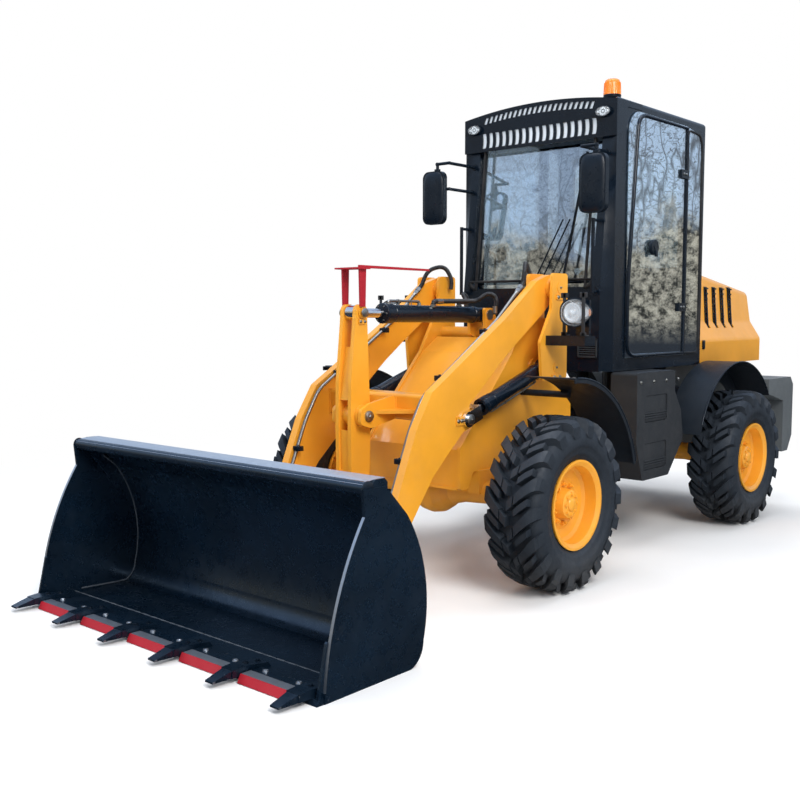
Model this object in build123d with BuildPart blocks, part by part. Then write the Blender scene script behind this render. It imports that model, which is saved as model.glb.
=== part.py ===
"""Compact articulated wheel loader, modelled at its real size in millimetres.

Frame: +X forward, +Y to the operator's left, +Z up. The origin is on the ground under the
middle of the machine. The loader stands straight, with its bucket level on the ground.
Every piece is one named solid (or a few that do not touch) in parts/NAME.step.
"""

import os
from math import cos, radians, sin

from build123d import *

os.makedirs("parts", exist_ok=True)

# ----------------------------------------------------------------------------------------
# Driving dimensions
# ----------------------------------------------------------------------------------------
OVERALL_LENGTH = 5930.0
WHEELBASE = 2500.0
REAR_OVERHANG = 1140.0
TRACK = 1730.0
TYRE_RADIUS = 500.0
TYRE_WIDTH = 340.0
BUCKET_WIDTH = 2226.0
CAB_HALF_WIDTH = 614.0
CAB_FLOOR_Z = 1190.0
CAB_TOP_Z = 2985.0

# Stations along the machine
REAR_END_X = -OVERALL_LENGTH / 2
REAR_AXLE_X = REAR_END_X + REAR_OVERHANG
FRONT_AXLE_X = REAR_AXLE_X + WHEELBASE
PIVOT_X = (FRONT_AXLE_X + REAR_AXLE_X) / 2
TOOTH_TIP_X = OVERALL_LENGTH / 2
AXLE_Z = TYRE_RADIUS
WHEEL_Y = TRACK / 2

# Clearances
PIN_CLEARANCE = 0.3
SIDE_CLEARANCE = 6.0

# Front frame
FRAME_PLATE = 25.0
FRAME_INNER_Y = 350.0
TOWER_OUTER_Y = 525.0
TOWER_PLATE = 20.0
BULKHEAD_X = PIVOT_X + 305.0
FRAME_BOTTOM_Z = 640.0
FRAME_NOSE_X = FRONT_AXLE_X + 260.0
SHAFT_Z = AXLE_Z + 20.0

# Articulation
LUG_THICKNESS = 48.0
LUG_RADIUS = 95.0
LOWER_LUG_Z = 400.0
UPPER_LUG_Z = 910.0
FORK_PLATE = 30.0
ARTICULATION_PIN_R = 38.0

# Boom hinge, lift cylinder, tilt cylinder and bucket pins, as X and Z
BOOM_HINGE = (FRONT_AXLE_X - 527.0, 1735.0)
LIFT_BASE = (FRONT_AXLE_X - 490.0, 1240.0)
LIFT_EYE = (FRONT_AXLE_X + 330.0, 975.0)
TILT_BASE = (FRONT_AXLE_X - 432.0, 1566.0)
CRANK_TOP = (FRONT_AXLE_X + 757.0, 1578.0)
CRANK_PIVOT = (FRONT_AXLE_X + 760.0, 1000.0)
CRANK_FOOT = (FRONT_AXLE_X + 765.0, 385.0)
BUCKET_PIN = (FRONT_AXLE_X + 1065.0, 260.0)
LINK_PIN = (FRONT_AXLE_X + 1230.0, 505.0)

# Lift arms
ARM_Y = 450.0
ARM_PLATE = 50.0
ARM_PIN_R = 35.0
CROSS_TUBE_X = FRONT_AXLE_X + 455.0
CROSS_TUBE_Z = 1040.0
CROSS_TUBE_SIZE = 150.0
CRANK_BRACKET_Y = 102.0
CRANK_BRACKET_PLATE = 25.0

# Bell crank
CRANK_PLATE = 25.0
CRANK_PLATE_Y = 48.0
CRANK_PIN_R = 32.0
POINTER_Y = 80.0

# Cylinders
LIFT_BARREL_R = 45.0
LIFT_ROD_R = 24.0
TILT_BARREL_R = 52.0
TILT_ROD_R = 27.0
STEER_BARREL_R = 36.0
STEER_ROD_R = 18.0
STEER_Y = 200.0
STEER_Z = 640.0
STEER_BASE_X = PIVOT_X - 425.0
STEER_EYE_X = PIVOT_X + 230.0

# Rear frame
RAIL_Y = 325.0
RAIL_PLATE = 25.0
RAIL_TOP_Z = 900.0
CROSSWALL_X = PIVOT_X - 485.0

# Rims
RIM_SEAT_R = 236.0
RIM_FLANGE_R = 257.0
RIM_HALF_WIDTH = 140.0
RIM_FLANGE_T = 10.0

# Cab
CAB_WALL = 50.0
CAB_REAR_X = PIVOT_X - 1150.0
CAB_SIDE_FRONT_X = PIVOT_X + 175.0
CAB_NOSE_X = PIVOT_X + 265.0
CAB_NOSE_HALF_Y = CAB_HALF_WIDTH - 54.0
CAB_SILL_Z = 1290.0
WINDSCREEN_FOOT_Z = 1750.0
CAB_HEAD_Z = 2850.0
SCREEN_LEAN = 130.0
SCREEN_HALF_Y = CAB_NOSE_HALF_Y - 60.0
DOOR_REAR_X = PIVOT_X - 840.0
DOOR_FRONT_X = CAB_SIDE_FRONT_X - 160.0
DOOR_HEAD_Z = 2905.0
DOOR_HINGE_Y = CAB_HALF_WIDTH + 18.0
DOOR_CORNER_R = 150.0
GLASS = 6.0
GLASS_LAP = 15.0

# Hood
HOOD_FRONT_X = CAB_REAR_X - 22.0
HOOD_REAR_X = REAR_END_X + 40.0
HOOD_BOTTOM_Z = 1180.0
HOOD_HALF_WIDTH = 510.0
HOOD_FLARE = CAB_HALF_WIDTH - 14.0
HOOD_WALL = 8.0
HOOD_HINGE_X = HOOD_REAR_X + 20.0
HOOD_HINGE_Y = 350.0

# Side boxes and mudguards
BOX_INNER_Y = 600.0
BOX_OUTER_Y = 795.0
BOX_FRONT_X = PIVOT_X + 170.0
BOX_REAR_X = REAR_AXLE_X + 715.0
BOX_BOTTOM_Z = 464.0
FENDER_R = 714.0
FENDER_T = 6.0
FRONT_FENDER_INNER_Y = 660.0
FRONT_FENDER_OUTER_Y = 1000.0
REAR_FENDER_INNER_Y = CAB_HALF_WIDTH + 20.0
REAR_FENDER_OUTER_Y = 900.0

# Bucket
BUCKET_SIDE_T = 16.0
TOOTH_COUNT = 6
TOOTH_SPAN = BUCKET_WIDTH - 170.0
TOOTH_WIDTH = 76.0
TOOTH_PITCH = TOOTH_SPAN / (TOOTH_COUNT - 1)
LIP_X = TOOTH_TIP_X - 195.0


# ----------------------------------------------------------------------------------------
# Shared profiles
# ----------------------------------------------------------------------------------------
def side_profile(centre_y, points, corner=0.0, holes=()):
    """A closed outline of (X, Z) points in a vertical plane at centre_y, with round holes (x, z, r)."""
    with BuildSketch(Plane.XZ.offset(-centre_y)) as profile:
        with BuildLine():
            if corner:
                FilletPolyline(*points, radius=corner, close=True)
            else:
                Polyline(*points, close=True)
        make_face()
        for x, z, r in holes:
            with Locations((x, z)):
                Circle(r, mode=Mode.SUBTRACT)
    return profile.sketch


def plan_profile(z, points, corner=0.0, holes=()):
    """A closed outline of (X, Y) points in a level plane at height z."""
    with BuildSketch(Plane.XY.offset(z)) as profile:
        with BuildLine():
            if corner:
                FilletPolyline(*points, radius=corner, close=True)
            else:
                Polyline(*points, close=True)
        make_face()
        for x, y, r in holes:
            with Locations((x, y)):
                Circle(r, mode=Mode.SUBTRACT)
    return profile.sketch


def disc_profile(centre_y, x, z, outer_r, inner_r=0.0):
    """A disc or ring standing in a vertical plane, for bosses, pins and eyes."""
    with BuildSketch(Plane.XZ.offset(-centre_y)) as profile:
        with Locations((x, z)):
            Circle(outer_r)
            if inner_r:
                Circle(inner_r, mode=Mode.SUBTRACT)
    return profile.sketch


def mirrored(points):
    """Both halves of a plan outline given for its left half, front to rear."""
    return list(points) + [(x, -y) for x, y in reversed(points)]


def wheel_plane(x):
    """A plane through a wheel's centre whose local axes are Y (across) and Z (radius)."""
    return Plane(origin=(x, 0, AXLE_Z), x_dir=(0, 1, 0), z_dir=(1, 0, 0))


def bar_axes(start, end):
    """Length and plane of a bar from start to end, given as (x, y, z): local X runs along it."""
    a, b = Vector(*start), Vector(*end)
    along = b - a
    side = Vector(0, 1, 0) if abs(along.normalized().Y) < 0.9 else Vector(1, 0, 0)
    return along.length, Plane(origin=a, x_dir=along, z_dir=side)


def write(name, shape):
    """Labels a finished piece and writes it to its own STEP file."""
    shape.label = name
    export_step(shape, "parts/" + name + ".step")


# ----------------------------------------------------------------------------------------
# Wheels: one tyre and one rim for each corner
# ----------------------------------------------------------------------------------------
def build_tube(points, radius, bend):
    """A round tube along straight runs that turn with the bend radius."""
    with BuildPart() as tube:
        with BuildLine() as route:
            FilletPolyline(*points, radius=bend)
        with BuildSketch(Plane(origin=route.line @ 0, z_dir=route.line % 0)):
            Circle(radius)
        sweep()
    return tube.part


def build_tyre(x, centre_y):
    """A tyre as a closed ring: bead, bulged sidewall, shoulder and slightly crowned tread."""
    half = TYRE_WIDTH / 2
    with BuildPart() as tyre:
        with BuildSketch(wheel_plane(x)):
            with BuildLine():
                Line((centre_y - RIM_HALF_WIDTH, RIM_SEAT_R + 0.5), (centre_y + RIM_HALF_WIDTH, RIM_SEAT_R + 0.5))
                for side in (1, -1):
                    bead = (centre_y + side * RIM_HALF_WIDTH, RIM_SEAT_R + 0.5)
                    bead_top = (centre_y + side * RIM_HALF_WIDTH, RIM_FLANGE_R + 4)
                    shoulder = (centre_y + side * (half - 12), TYRE_RADIUS - 42)
                    crown = (centre_y + side * (half - 52), TYRE_RADIUS - 8)
                    Line(bead, bead_top)
                    ThreePointArc(bead_top, (centre_y + side * half, TYRE_RADIUS - 135), shoulder)
                    Line(shoulder, crown)
                ThreePointArc(
                    (centre_y - half + 52, TYRE_RADIUS - 8),
                    (centre_y, TYRE_RADIUS),
                    (centre_y + half - 52, TYRE_RADIUS - 8),
                )
            make_face()
        revolve(axis=Axis((x, 0, AXLE_Z), (0, 1, 0)))
    return tyre.part


def build_rim(x, centre_y):
    """A deep-dish disc rim with its hub; the dish opens away from the machine."""
    out = 1 if centre_y > 0 else -1
    flange = RIM_HALF_WIDTH + RIM_FLANGE_T
    # Half section as (distance outward from the wheel's centre plane, radius)
    section = [
        (-flange, RIM_FLANGE_R), (-RIM_HALF_WIDTH, RIM_FLANGE_R), (-RIM_HALF_WIDTH, RIM_SEAT_R),
        (RIM_HALF_WIDTH, RIM_SEAT_R), (RIM_HALF_WIDTH, RIM_FLANGE_R), (flange, RIM_FLANGE_R),
        (flange, RIM_FLANGE_R - 14), (RIM_HALF_WIDTH - 6, RIM_SEAT_R - 14), (62, RIM_SEAT_R - 16),
        (48, RIM_SEAT_R - 34), (38, 150), (44, 134), (44, 92), (98, 80), (106, 62), (106, 0),
        (30, 0), (30, 40), (-118, 40), (-118, 84), (22, 92), (22, 152), (30, RIM_SEAT_R - 30),
        (30, RIM_SEAT_R - 14), (-RIM_HALF_WIDTH + 6, RIM_SEAT_R - 14), (-flange, RIM_FLANGE_R - 14),
    ]
    with BuildPart() as rim:
        with BuildSketch(wheel_plane(x)):
            with BuildLine():
                Polyline(*[(centre_y + out * across, r) for across, r in section], close=True)
            make_face()
        revolve(axis=Axis((x, 0, AXLE_Z), (0, 1, 0)))
    return rim.part


for wheel_end, wheel_x in (("front", FRONT_AXLE_X), ("rear", REAR_AXLE_X)):
    for wheel_side, side_sign in (("left", 1), ("right", -1)):
        write(wheel_end + "_" + wheel_side + "_tyre", build_tyre(wheel_x, side_sign * WHEEL_Y))
        write(wheel_end + "_" + wheel_side + "_rim", build_rim(wheel_x, side_sign * WHEEL_Y))


# ----------------------------------------------------------------------------------------
# Axles: cast housing with a ball-shaped differential, wheel ends and a propeller shaft
# ----------------------------------------------------------------------------------------
def build_axle(x, shaft_end_x, shaft_sign):
    """A drive axle; its propeller shaft runs from the pinion to shaft_end_x."""
    # Half section as (distance from the middle, radius)
    section = [
        (0, 168), (60, 158), (110, 128), (150, 98), (230, 78), (470, 66), (540, 74), (560, 118),
        (700, 118), (712, 96), (740, 96), (740, 39.7), (885, 39.7), (885, 0),
    ]
    outline = [(y, r) for y, r in section] + [(-y, r) for y, r in reversed(section[1:])]
    pinion_z = SHAFT_Z
    nose_x = x + shaft_sign * 270
    with BuildPart() as axle:
        with BuildSketch(wheel_plane(x)):
            with BuildLine():
                Polyline(*outline, close=True)
            make_face()
        revolve(axis=Axis((x, 0, AXLE_Z), (0, 1, 0)))
        with BuildSketch(Plane.YZ.offset(x)):
            with Locations((0, pinion_z)):
                Circle(110)
        with BuildSketch(Plane.YZ.offset(nose_x)):
            with Locations((0, pinion_z)):
                Circle(62)
        loft()
        with BuildSketch(Plane.YZ.offset(nose_x)):
            with Locations((0, pinion_z)):
                Circle(34)
        extrude(amount=shaft_end_x - nose_x)
        for side in (1, -1):
            with BuildSketch(Plane.XY.offset(AXLE_Z)):
                with Locations((x, side * 345)):
                    Rectangle(180, 90)
            extrude(amount=FRAME_BOTTOM_Z - AXLE_Z)
    return axle.part


write("front_axle", build_axle(FRONT_AXLE_X, PIVOT_X + 60, -1))
write("rear_axle", build_axle(REAR_AXLE_X, CROSSWALL_X - 120, 1))

# ----------------------------------------------------------------------------------------
# Front frame: side plates that rise into two towers, bulkhead, nose box and pivot lugs
# ----------------------------------------------------------------------------------------
hinge_x, hinge_z = BOOM_HINGE
BULKHEAD_LOW_Z = LOWER_LUG_Z - 40.0
NOSE_LOW_Z = FRAME_BOTTOM_Z - 100.0
side_plate_points = [
    (BULKHEAD_X, BULKHEAD_LOW_Z), (BULKHEAD_X + 260, BULKHEAD_LOW_Z), (FRONT_AXLE_X - 330, FRAME_BOTTOM_Z),
    (FRONT_AXLE_X + 130, FRAME_BOTTOM_Z), (FRONT_AXLE_X + 180, NOSE_LOW_Z), (FRAME_NOSE_X, NOSE_LOW_Z),
    (FRAME_NOSE_X, FRAME_BOTTOM_Z + 150), (hinge_x + 270, 1330), (hinge_x + 92, 1620), (hinge_x + 84, hinge_z + 88),
    (hinge_x - 86, hinge_z + 88), (hinge_x - 88, 1150), (BULKHEAD_X, 1120),
]
outer_plate_points = [
    (hinge_x - 86, hinge_z + 88), (hinge_x + 84, hinge_z + 88), (hinge_x + 92, 1600), (hinge_x + 215, 1400),
    (hinge_x + 190, 1165), (hinge_x - 88, 1165),
]
with BuildPart() as front_frame:
    for side in (1, -1):
        plate_y = side * (FRAME_INNER_Y + FRAME_PLATE / 2)
        extrude(side_profile(plate_y, side_plate_points, corner=24), amount=FRAME_PLATE / 2, both=True)
        outer_y = side * (TOWER_OUTER_Y + TOWER_PLATE / 2)
        extrude(side_profile(outer_y, outer_plate_points, corner=24), amount=TOWER_PLATE / 2, both=True)
        # Rear web and floor joining the inner and outer tower plates
        gap_middle_y = side * (FRAME_INNER_Y + FRAME_PLATE + TOWER_OUTER_Y) / 2
        gap_width = TOWER_OUTER_Y - FRAME_INNER_Y - FRAME_PLATE
        with BuildSketch(Plane.XY.offset(1165)):
            with Locations((hinge_x - 78, gap_middle_y)):
                Rectangle(20, gap_width)
        extrude(amount=380)
        with BuildSketch(Plane.XY.offset(1165)):
            with Locations((hinge_x - 20, gap_middle_y)):
                Rectangle(130, gap_width)
        extrude(amount=16)
        # Boom hinge pin and lift cylinder base pin, each held by both tower plates
        for pin_x, pin_z, pin_r in ((*BOOM_HINGE, ARM_PIN_R), (*LIFT_BASE, 30)):
            extrude(disc_profile(gap_middle_y, pin_x, pin_z, pin_r), amount=gap_width / 2 + TOWER_PLATE + 4, both=True)
            extrude(
                disc_profile(side * (FRAME_INNER_Y + FRAME_PLATE + 8), pin_x, pin_z, pin_r + 22),
                amount=8,
                both=True,
            )
    # Bulkhead behind, sloping front panel, top tie and nose box between the side plates
    with BuildSketch(Plane.YZ.offset(BULKHEAD_X)):
        with Locations((0, (BULKHEAD_LOW_Z + 1120) / 2)):
            Rectangle(2 * FRAME_INNER_Y + 1, 1120 - BULKHEAD_LOW_Z)
        with Locations((0, SHAFT_Z)):
            Circle(64, mode=Mode.SUBTRACT)
    extrude(amount=20)
    slope = side_profile(
        0,
        [
            (FRAME_NOSE_X - 24, NOSE_LOW_Z + 10), (FRAME_NOSE_X - 6, NOSE_LOW_Z + 10),
            (FRAME_NOSE_X - 6, FRAME_BOTTOM_Z + 140), (hinge_x + 256, 1326), (hinge_x + 110, 1420),
            (hinge_x + 100, 1404), (hinge_x + 240, 1312), (FRAME_NOSE_X - 24, FRAME_BOTTOM_Z + 132),
        ],
    )
    extrude(slope, amount=FRAME_INNER_Y + 0.5, both=True)
    with BuildSketch(Plane.XY.offset(FRAME_BOTTOM_Z)):
        with Locations((FRONT_AXLE_X - 90, 0)):
            Rectangle(420, 2 * FRAME_INNER_Y + 1)
            with Locations((90, 0)):
                Rectangle(300, 340, mode=Mode.SUBTRACT)
    extrude(amount=16)
    with BuildSketch(Plane.XY.offset(NOSE_LOW_Z)):
        with Locations(((FRAME_NOSE_X + FRONT_AXLE_X + 185) / 2, 0)):
            Rectangle(FRAME_NOSE_X - FRONT_AXLE_X - 185, 2 * FRAME_INNER_Y + 1)
    extrude(amount=16)
    # Tie tube between the towers with the two ears that hold the tilt cylinder
    tilt_x, tilt_z = TILT_BASE
    extrude(disc_profile(0, tilt_x - 72, 1440, 48), amount=FRAME_INNER_Y + 1, both=True)
    for side in (1, -1):
        ear = side_profile(
            side * 62,
            [
                (tilt_x - 120, 1430), (tilt_x - 60, 1400), (tilt_x + 40, 1440), (tilt_x + 46, tilt_z + 44),
                (tilt_x - 46, tilt_z + 44),
            ],
            corner=14,
            holes=[(tilt_x, tilt_z, CRANK_PIN_R + PIN_CLEARANCE)],
        )
        extrude(ear, amount=11, both=True)
    # Pivot lugs: tapered plates from the bulkhead to a round eye on the articulation axis
    for lug_z in (LOWER_LUG_Z, UPPER_LUG_Z):
        lug_outline = mirrored([(BULKHEAD_X + 1, 300), (PIVOT_X + 60, LUG_RADIUS - 6), (PIVOT_X, LUG_RADIUS - 1)])
        extrude(plan_profile(lug_z, lug_outline), amount=LUG_THICKNESS / 2, both=True)
        with BuildSketch(Plane.XY.offset(lug_z)):
            with Locations((PIVOT_X, 0)):
                Circle(LUG_RADIUS)
        extrude(amount=LUG_THICKNESS / 2, both=True)
        with BuildSketch(Plane.XY.offset(lug_z)):
            with Locations((PIVOT_X, 0)):
                Circle(ARTICULATION_PIN_R + PIN_CLEARANCE)
        extrude(amount=LUG_THICKNESS, both=True, mode=Mode.SUBTRACT)
    # Steering ears on the bulkhead's rear face
    for side in (1, -1):
        for ear_z in (STEER_Z - 46, STEER_Z + 46):
            steer_outline = [
                (BULKHEAD_X + 1, side * STEER_Y - 60), (BULKHEAD_X + 1, side * STEER_Y + 60),
                (STEER_EYE_X - 30, side * STEER_Y + 34), (STEER_EYE_X - 30, side * STEER_Y - 34),
            ]
            extrude(plan_profile(ear_z, steer_outline), amount=8, both=True)
        for head_z in (STEER_Z - 60, STEER_Z + 54):
            with BuildSketch(Plane.XY.offset(head_z)):
                with Locations((STEER_EYE_X, side * STEER_Y)):
                    Circle(20)
            extrude(amount=6)
write("front_frame", front_frame.part)

# ----------------------------------------------------------------------------------------
# Front mudguards: a curved strip and its inner web over the rear half of each front tyre
# ----------------------------------------------------------------------------------------
def arc_strip(x, radius, thickness, start, end):
    """(X, Z) ring segment about an axle, from start to end degrees above the forward direction."""
    def rim_point(r, angle):
        return (x + r * cos(radians(angle)), AXLE_Z + r * sin(radians(angle)))

    middle = (start + end) / 2
    return [rim_point(radius, a) for a in (start, middle, end)], [rim_point(radius - thickness, a) for a in (end, middle, start)]


def arch_profile(centre_y, x, radius, thickness, start, end):
    """The ring segment of arc_strip as a closed face at centre_y."""
    outer, inner = arc_strip(x, radius, thickness, start, end)
    with BuildSketch(Plane.XZ.offset(-centre_y)) as profile:
        with BuildLine():
            ThreePointArc(*outer)
            Line(outer[-1], inner[0])
            ThreePointArc(*inner)
            Line(inner[-1], outer[0])
        make_face()
    return profile.sketch


with BuildPart() as front_fenders:
    for side in (1, -1):
        middle_y = side * (FRONT_FENDER_INNER_Y + FRONT_FENDER_OUTER_Y) / 2
        half_width = (FRONT_FENDER_OUTER_Y - FRONT_FENDER_INNER_Y) / 2
        strip = arch_profile(middle_y, FRONT_AXLE_X, FENDER_R, FENDER_T, 88, 167)
        extrude(strip, amount=half_width, both=True)
        edge_y = side * (FRONT_FENDER_OUTER_Y - 4)
        extrude(arch_profile(edge_y, FRONT_AXLE_X, FENDER_R, 28, 88, 167), amount=4, both=True)
        # Bracket arm from the frame's side plate out under the mudguard
        arm_y = side * (FRAME_INNER_Y + FRAME_PLATE + FRONT_FENDER_INNER_Y + 60) / 2
        arm_half = (FRONT_FENDER_INNER_Y + 60 - FRAME_INNER_Y - FRAME_PLATE) / 2
        for angle in (122, 150):
            bracket_x = FRONT_AXLE_X + (FENDER_R - 24) * cos(radians(angle))
            bracket_z = AXLE_Z + (FENDER_R - 24) * sin(radians(angle))
            extrude(disc_profile(arm_y, bracket_x, bracket_z, 20), amount=arm_half, both=True)
write("front_fenders", front_fenders.part)

# ----------------------------------------------------------------------------------------
# Headlights: a bar off each tower, an upright and the lamp housing
# ----------------------------------------------------------------------------------------
HEADLIGHT = (FRONT_AXLE_X - 430.0, 750.0, 1560.0)
lamp_x, lamp_y, lamp_z = HEADLIGHT
with BuildPart() as headlight_brackets:
    for side in (1, -1):
        bar = [(lamp_x - 60, 1380), (lamp_x + 60, 1380), (lamp_x + 60, 1440), (lamp_x - 60, 1440)]
        start_y = TOWER_OUTER_Y + TOWER_PLATE
        bar_y = side * (start_y + lamp_y + 70) / 2
        extrude(side_profile(bar_y, bar), amount=(lamp_y + 70 - start_y) / 2, both=True)
        upright = [(lamp_x - 48, 1440), (lamp_x - 28, 1440), (lamp_x - 28, lamp_z + 95), (lamp_x - 48, lamp_z + 95)]
        extrude(side_profile(side * lamp_y, upright), amount=45, both=True)
write("headlight_brackets", headlight_brackets.part)

with BuildPart() as headlights:
    for side in (1, -1):
        for station, half_y, half_z in ((lamp_x - 28, 74, 62), (lamp_x + 70, 116, 90)):
            with BuildSketch(Plane.YZ.offset(station)):
                with Locations((side * lamp_y, lamp_z + 20)):
                    RectangleRounded(2 * half_y, 2 * half_z, 48)
        loft()
write("headlights", headlights.part)

# ----------------------------------------------------------------------------------------
# Lift arms: two bent plates, their bosses, the cross tube and the crank brackets
# ----------------------------------------------------------------------------------------
pin_x, pin_z = BUCKET_PIN
arm_points = [
    (hinge_x - 60, hinge_z - 50), (hinge_x - 60, hinge_z + 50), (hinge_x + 10, hinge_z + 82),
    (hinge_x + 150, hinge_z + 40), (FRONT_AXLE_X - 45, 1545), (FRONT_AXLE_X + 356, 1310),
    (FRONT_AXLE_X + 640, 1145), (FRONT_AXLE_X + 770, 950), (FRONT_AXLE_X + 935, 570), (pin_x - 30, 400),
    (pin_x + 66, pin_z + 42), (pin_x + 50, pin_z - 58), (pin_x - 60, pin_z - 56), (FRONT_AXLE_X + 800, 462),
    (FRONT_AXLE_X + 630, 677), (FRONT_AXLE_X + 488, 800), (LIFT_EYE[0] + 27, LIFT_EYE[1] - 70),
    (LIFT_EYE[0] - 34, LIFT_EYE[1] - 52), (LIFT_EYE[0] - 54, LIFT_EYE[1] + 10),
    (LIFT_EYE[0] - 18, LIFT_EYE[1] + 76), (FRONT_AXLE_X + 189, 1140), (FRONT_AXLE_X + 20, 1272),
    (FRONT_AXLE_X - 168, 1400), (hinge_x + 90, 1570),
]
with BuildPart() as lift_arms:
    for side in (1, -1):
        arm_holes = [(*BOOM_HINGE, ARM_PIN_R + PIN_CLEARANCE), (*BUCKET_PIN, ARM_PIN_R + PIN_CLEARANCE)]
        extrude(
            side_profile(side * ARM_Y, arm_points, corner=24, holes=arm_holes),
            amount=ARM_PLATE / 2,
            both=True,
        )
        for boss_x, boss_z, boss_r, boss_half in ((*BOOM_HINGE, 66, 55), (*BUCKET_PIN, 56, 38)):
            extrude(
                disc_profile(side * ARM_Y, boss_x, boss_z, boss_r, ARM_PIN_R + PIN_CLEARANCE),
                amount=boss_half,
                both=True,
            )
    with BuildSketch(Plane.XZ):
        with Locations((CROSS_TUBE_X, CROSS_TUBE_Z)):
            RectangleRounded(CROSS_TUBE_SIZE, CROSS_TUBE_SIZE, 20)
            RectangleRounded(CROSS_TUBE_SIZE - 24, CROSS_TUBE_SIZE - 24, 12, mode=Mode.SUBTRACT)
    extrude(amount=ARM_Y - ARM_PLATE / 2, both=True)
    crank_x, crank_z = CRANK_PIVOT
    tube_face_x = CROSS_TUBE_X + CROSS_TUBE_SIZE / 2
    bracket_points = [
        (tube_face_x - 1, CROSS_TUBE_Z + CROSS_TUBE_SIZE / 2 - 6), (crank_x - 10, crank_z + 70), (crank_x + 60, crank_z + 40),
        (crank_x + 62, crank_z - 44), (crank_x - 20, crank_z - 68), (tube_face_x - 1, CROSS_TUBE_Z - CROSS_TUBE_SIZE / 2 + 6),
    ]
    for side in (1, -1):
        extrude(
            side_profile(
                side * CRANK_BRACKET_Y,
                bracket_points,
                corner=30,
                holes=[(*CRANK_PIVOT, CRANK_PIN_R + PIN_CLEARANCE)],
            ),
            amount=CRANK_BRACKET_PLATE / 2,
            both=True,
        )
        # Gusset out to the arm, as a tapering web on the tube's front face
        gusset = [
            (tube_face_x - 1, side * (CRANK_BRACKET_Y + 10)), (crank_x - 60, side * (CRANK_BRACKET_Y + 10)),
            (tube_face_x - 1, side * 300),
        ]
        extrude(plan_profile(CROSS_TUBE_Z - 20, gusset), amount=10, both=True)
write("lift_arms", lift_arms.part)

# ----------------------------------------------------------------------------------------
# Boom lines: a steel pipe up each arm with clamps and fittings, and the hose at its top end
# ----------------------------------------------------------------------------------------
LINE_R = 9.0
LINE_Y = ARM_Y - ARM_PLATE / 2 - 17.0
HOSE_R = 13.0
HOSE_END_Y = FRAME_INNER_Y - 30.0
line_route = [
    (hinge_x + 230, hinge_z + 6), (FRONT_AXLE_X - 45, 1532), (FRONT_AXLE_X + 340, 1298),
    (FRONT_AXLE_X + 640, 1118), (FRONT_AXLE_X + 752, 940), (FRONT_AXLE_X + 915, 560),
]
clamp_places = [(FRONT_AXLE_X + 60, 1468), (FRONT_AXLE_X + 480, 1214), (FRONT_AXLE_X + 820, 781)]
with BuildPart() as boom_lines:
    for side in (1, -1):
        line_y = side * LINE_Y
        add(build_tube([(x, line_y, z) for x, z in line_route], LINE_R, 40))
        for clamp_x, clamp_z in clamp_places:
            with BuildSketch(Plane.XZ.offset(-side * (ARM_Y - ARM_PLATE / 2))):
                with Locations((clamp_x, clamp_z)):
                    RectangleRounded(52, 34, 8)
            extrude(amount=side * 34)
        # Fittings at both ends of the pipe
        for (end_x, end_z), (to_x, to_z) in ((line_route[0], line_route[1]), (line_route[-1], line_route[-2])):
            length, plane = bar_axes((end_x, line_y, end_z), (to_x, line_y, to_z))
            with BuildSketch(Plane(origin=plane.origin, z_dir=plane.x_dir)):
                RegularPolygon(16, 6)
            extrude(amount=70)
        hose_side = side * HOSE_END_Y
        hose_route = [
            (hinge_x + 230, line_y, hinge_z + 6), (hinge_x + 205, line_y, hinge_z + 24),
            (hinge_x + 160, side * (LINE_Y - 16), hinge_z + 130), (hinge_x + 60, side * (HOSE_END_Y + 6), hinge_z + 160),
            (hinge_x - 10, hose_side, hinge_z + 70), (hinge_x, hose_side, hinge_z),
        ]
        add(build_tube(hose_route, HOSE_R, 22))
write("boom_lines", boom_lines.part)

# ----------------------------------------------------------------------------------------
# Bell crank: two bowed plates on a boss, open at both ends for the cylinder and the link
# ----------------------------------------------------------------------------------------
top_x, top_z = CRANK_TOP
foot_x, foot_z = CRANK_FOOT
crank_points = [
    (top_x - 46, top_z - 40), (top_x - 44, top_z + 48), (top_x + 44, top_z + 48), (top_x + 52, top_z - 60),
    (crank_x + 84, crank_z + 190), (crank_x + 88, crank_z - 60), (foot_x + 76, foot_z + 200), (foot_x + 46, foot_z - 44),
    (foot_x - 46, foot_z - 44), (foot_x - 62, foot_z + 60), (crank_x - 72, crank_z - 90), (crank_x - 66, crank_z + 120),
]
crank_bores = [(*CRANK_PIVOT, CRANK_PIN_R + PIN_CLEARANCE), (*CRANK_FOOT, CRANK_PIN_R + PIN_CLEARANCE)]
with BuildPart() as bell_crank:
    for side in (1, -1):
        extrude(
            side_profile(side * CRANK_PLATE_Y, crank_points, corner=40, holes=crank_bores),
            amount=CRANK_PLATE / 2,
            both=True,
        )
    extrude(
        disc_profile(0, crank_x, crank_z, 62, CRANK_PIN_R + PIN_CLEARANCE),
        amount=CRANK_BRACKET_Y - CRANK_BRACKET_PLATE / 2 - SIDE_CLEARANCE,
        both=True,
    )
    for side in (1, -1):
        extrude(disc_profile(side * (CRANK_PLATE_Y + CRANK_PLATE / 2 + 4), top_x, top_z, 30), amount=4, both=True)
    web = [(crank_x + 60, crank_z + 90), (crank_x + 74, crank_z + 90), (top_x + 36, top_z - 190), (top_x + 24, top_z - 190)]
    extrude(side_profile(0, web), amount=CRANK_PLATE_Y, both=True)
    lower_web = [(crank_x + 62, crank_z - 80), (crank_x + 76, crank_z - 80), (foot_x + 58, foot_z + 200), (foot_x + 46, foot_z + 200)]
    extrude(side_profile(0, lower_web), amount=CRANK_PLATE_Y, both=True)
write("bell_crank", bell_crank.part)

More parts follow.
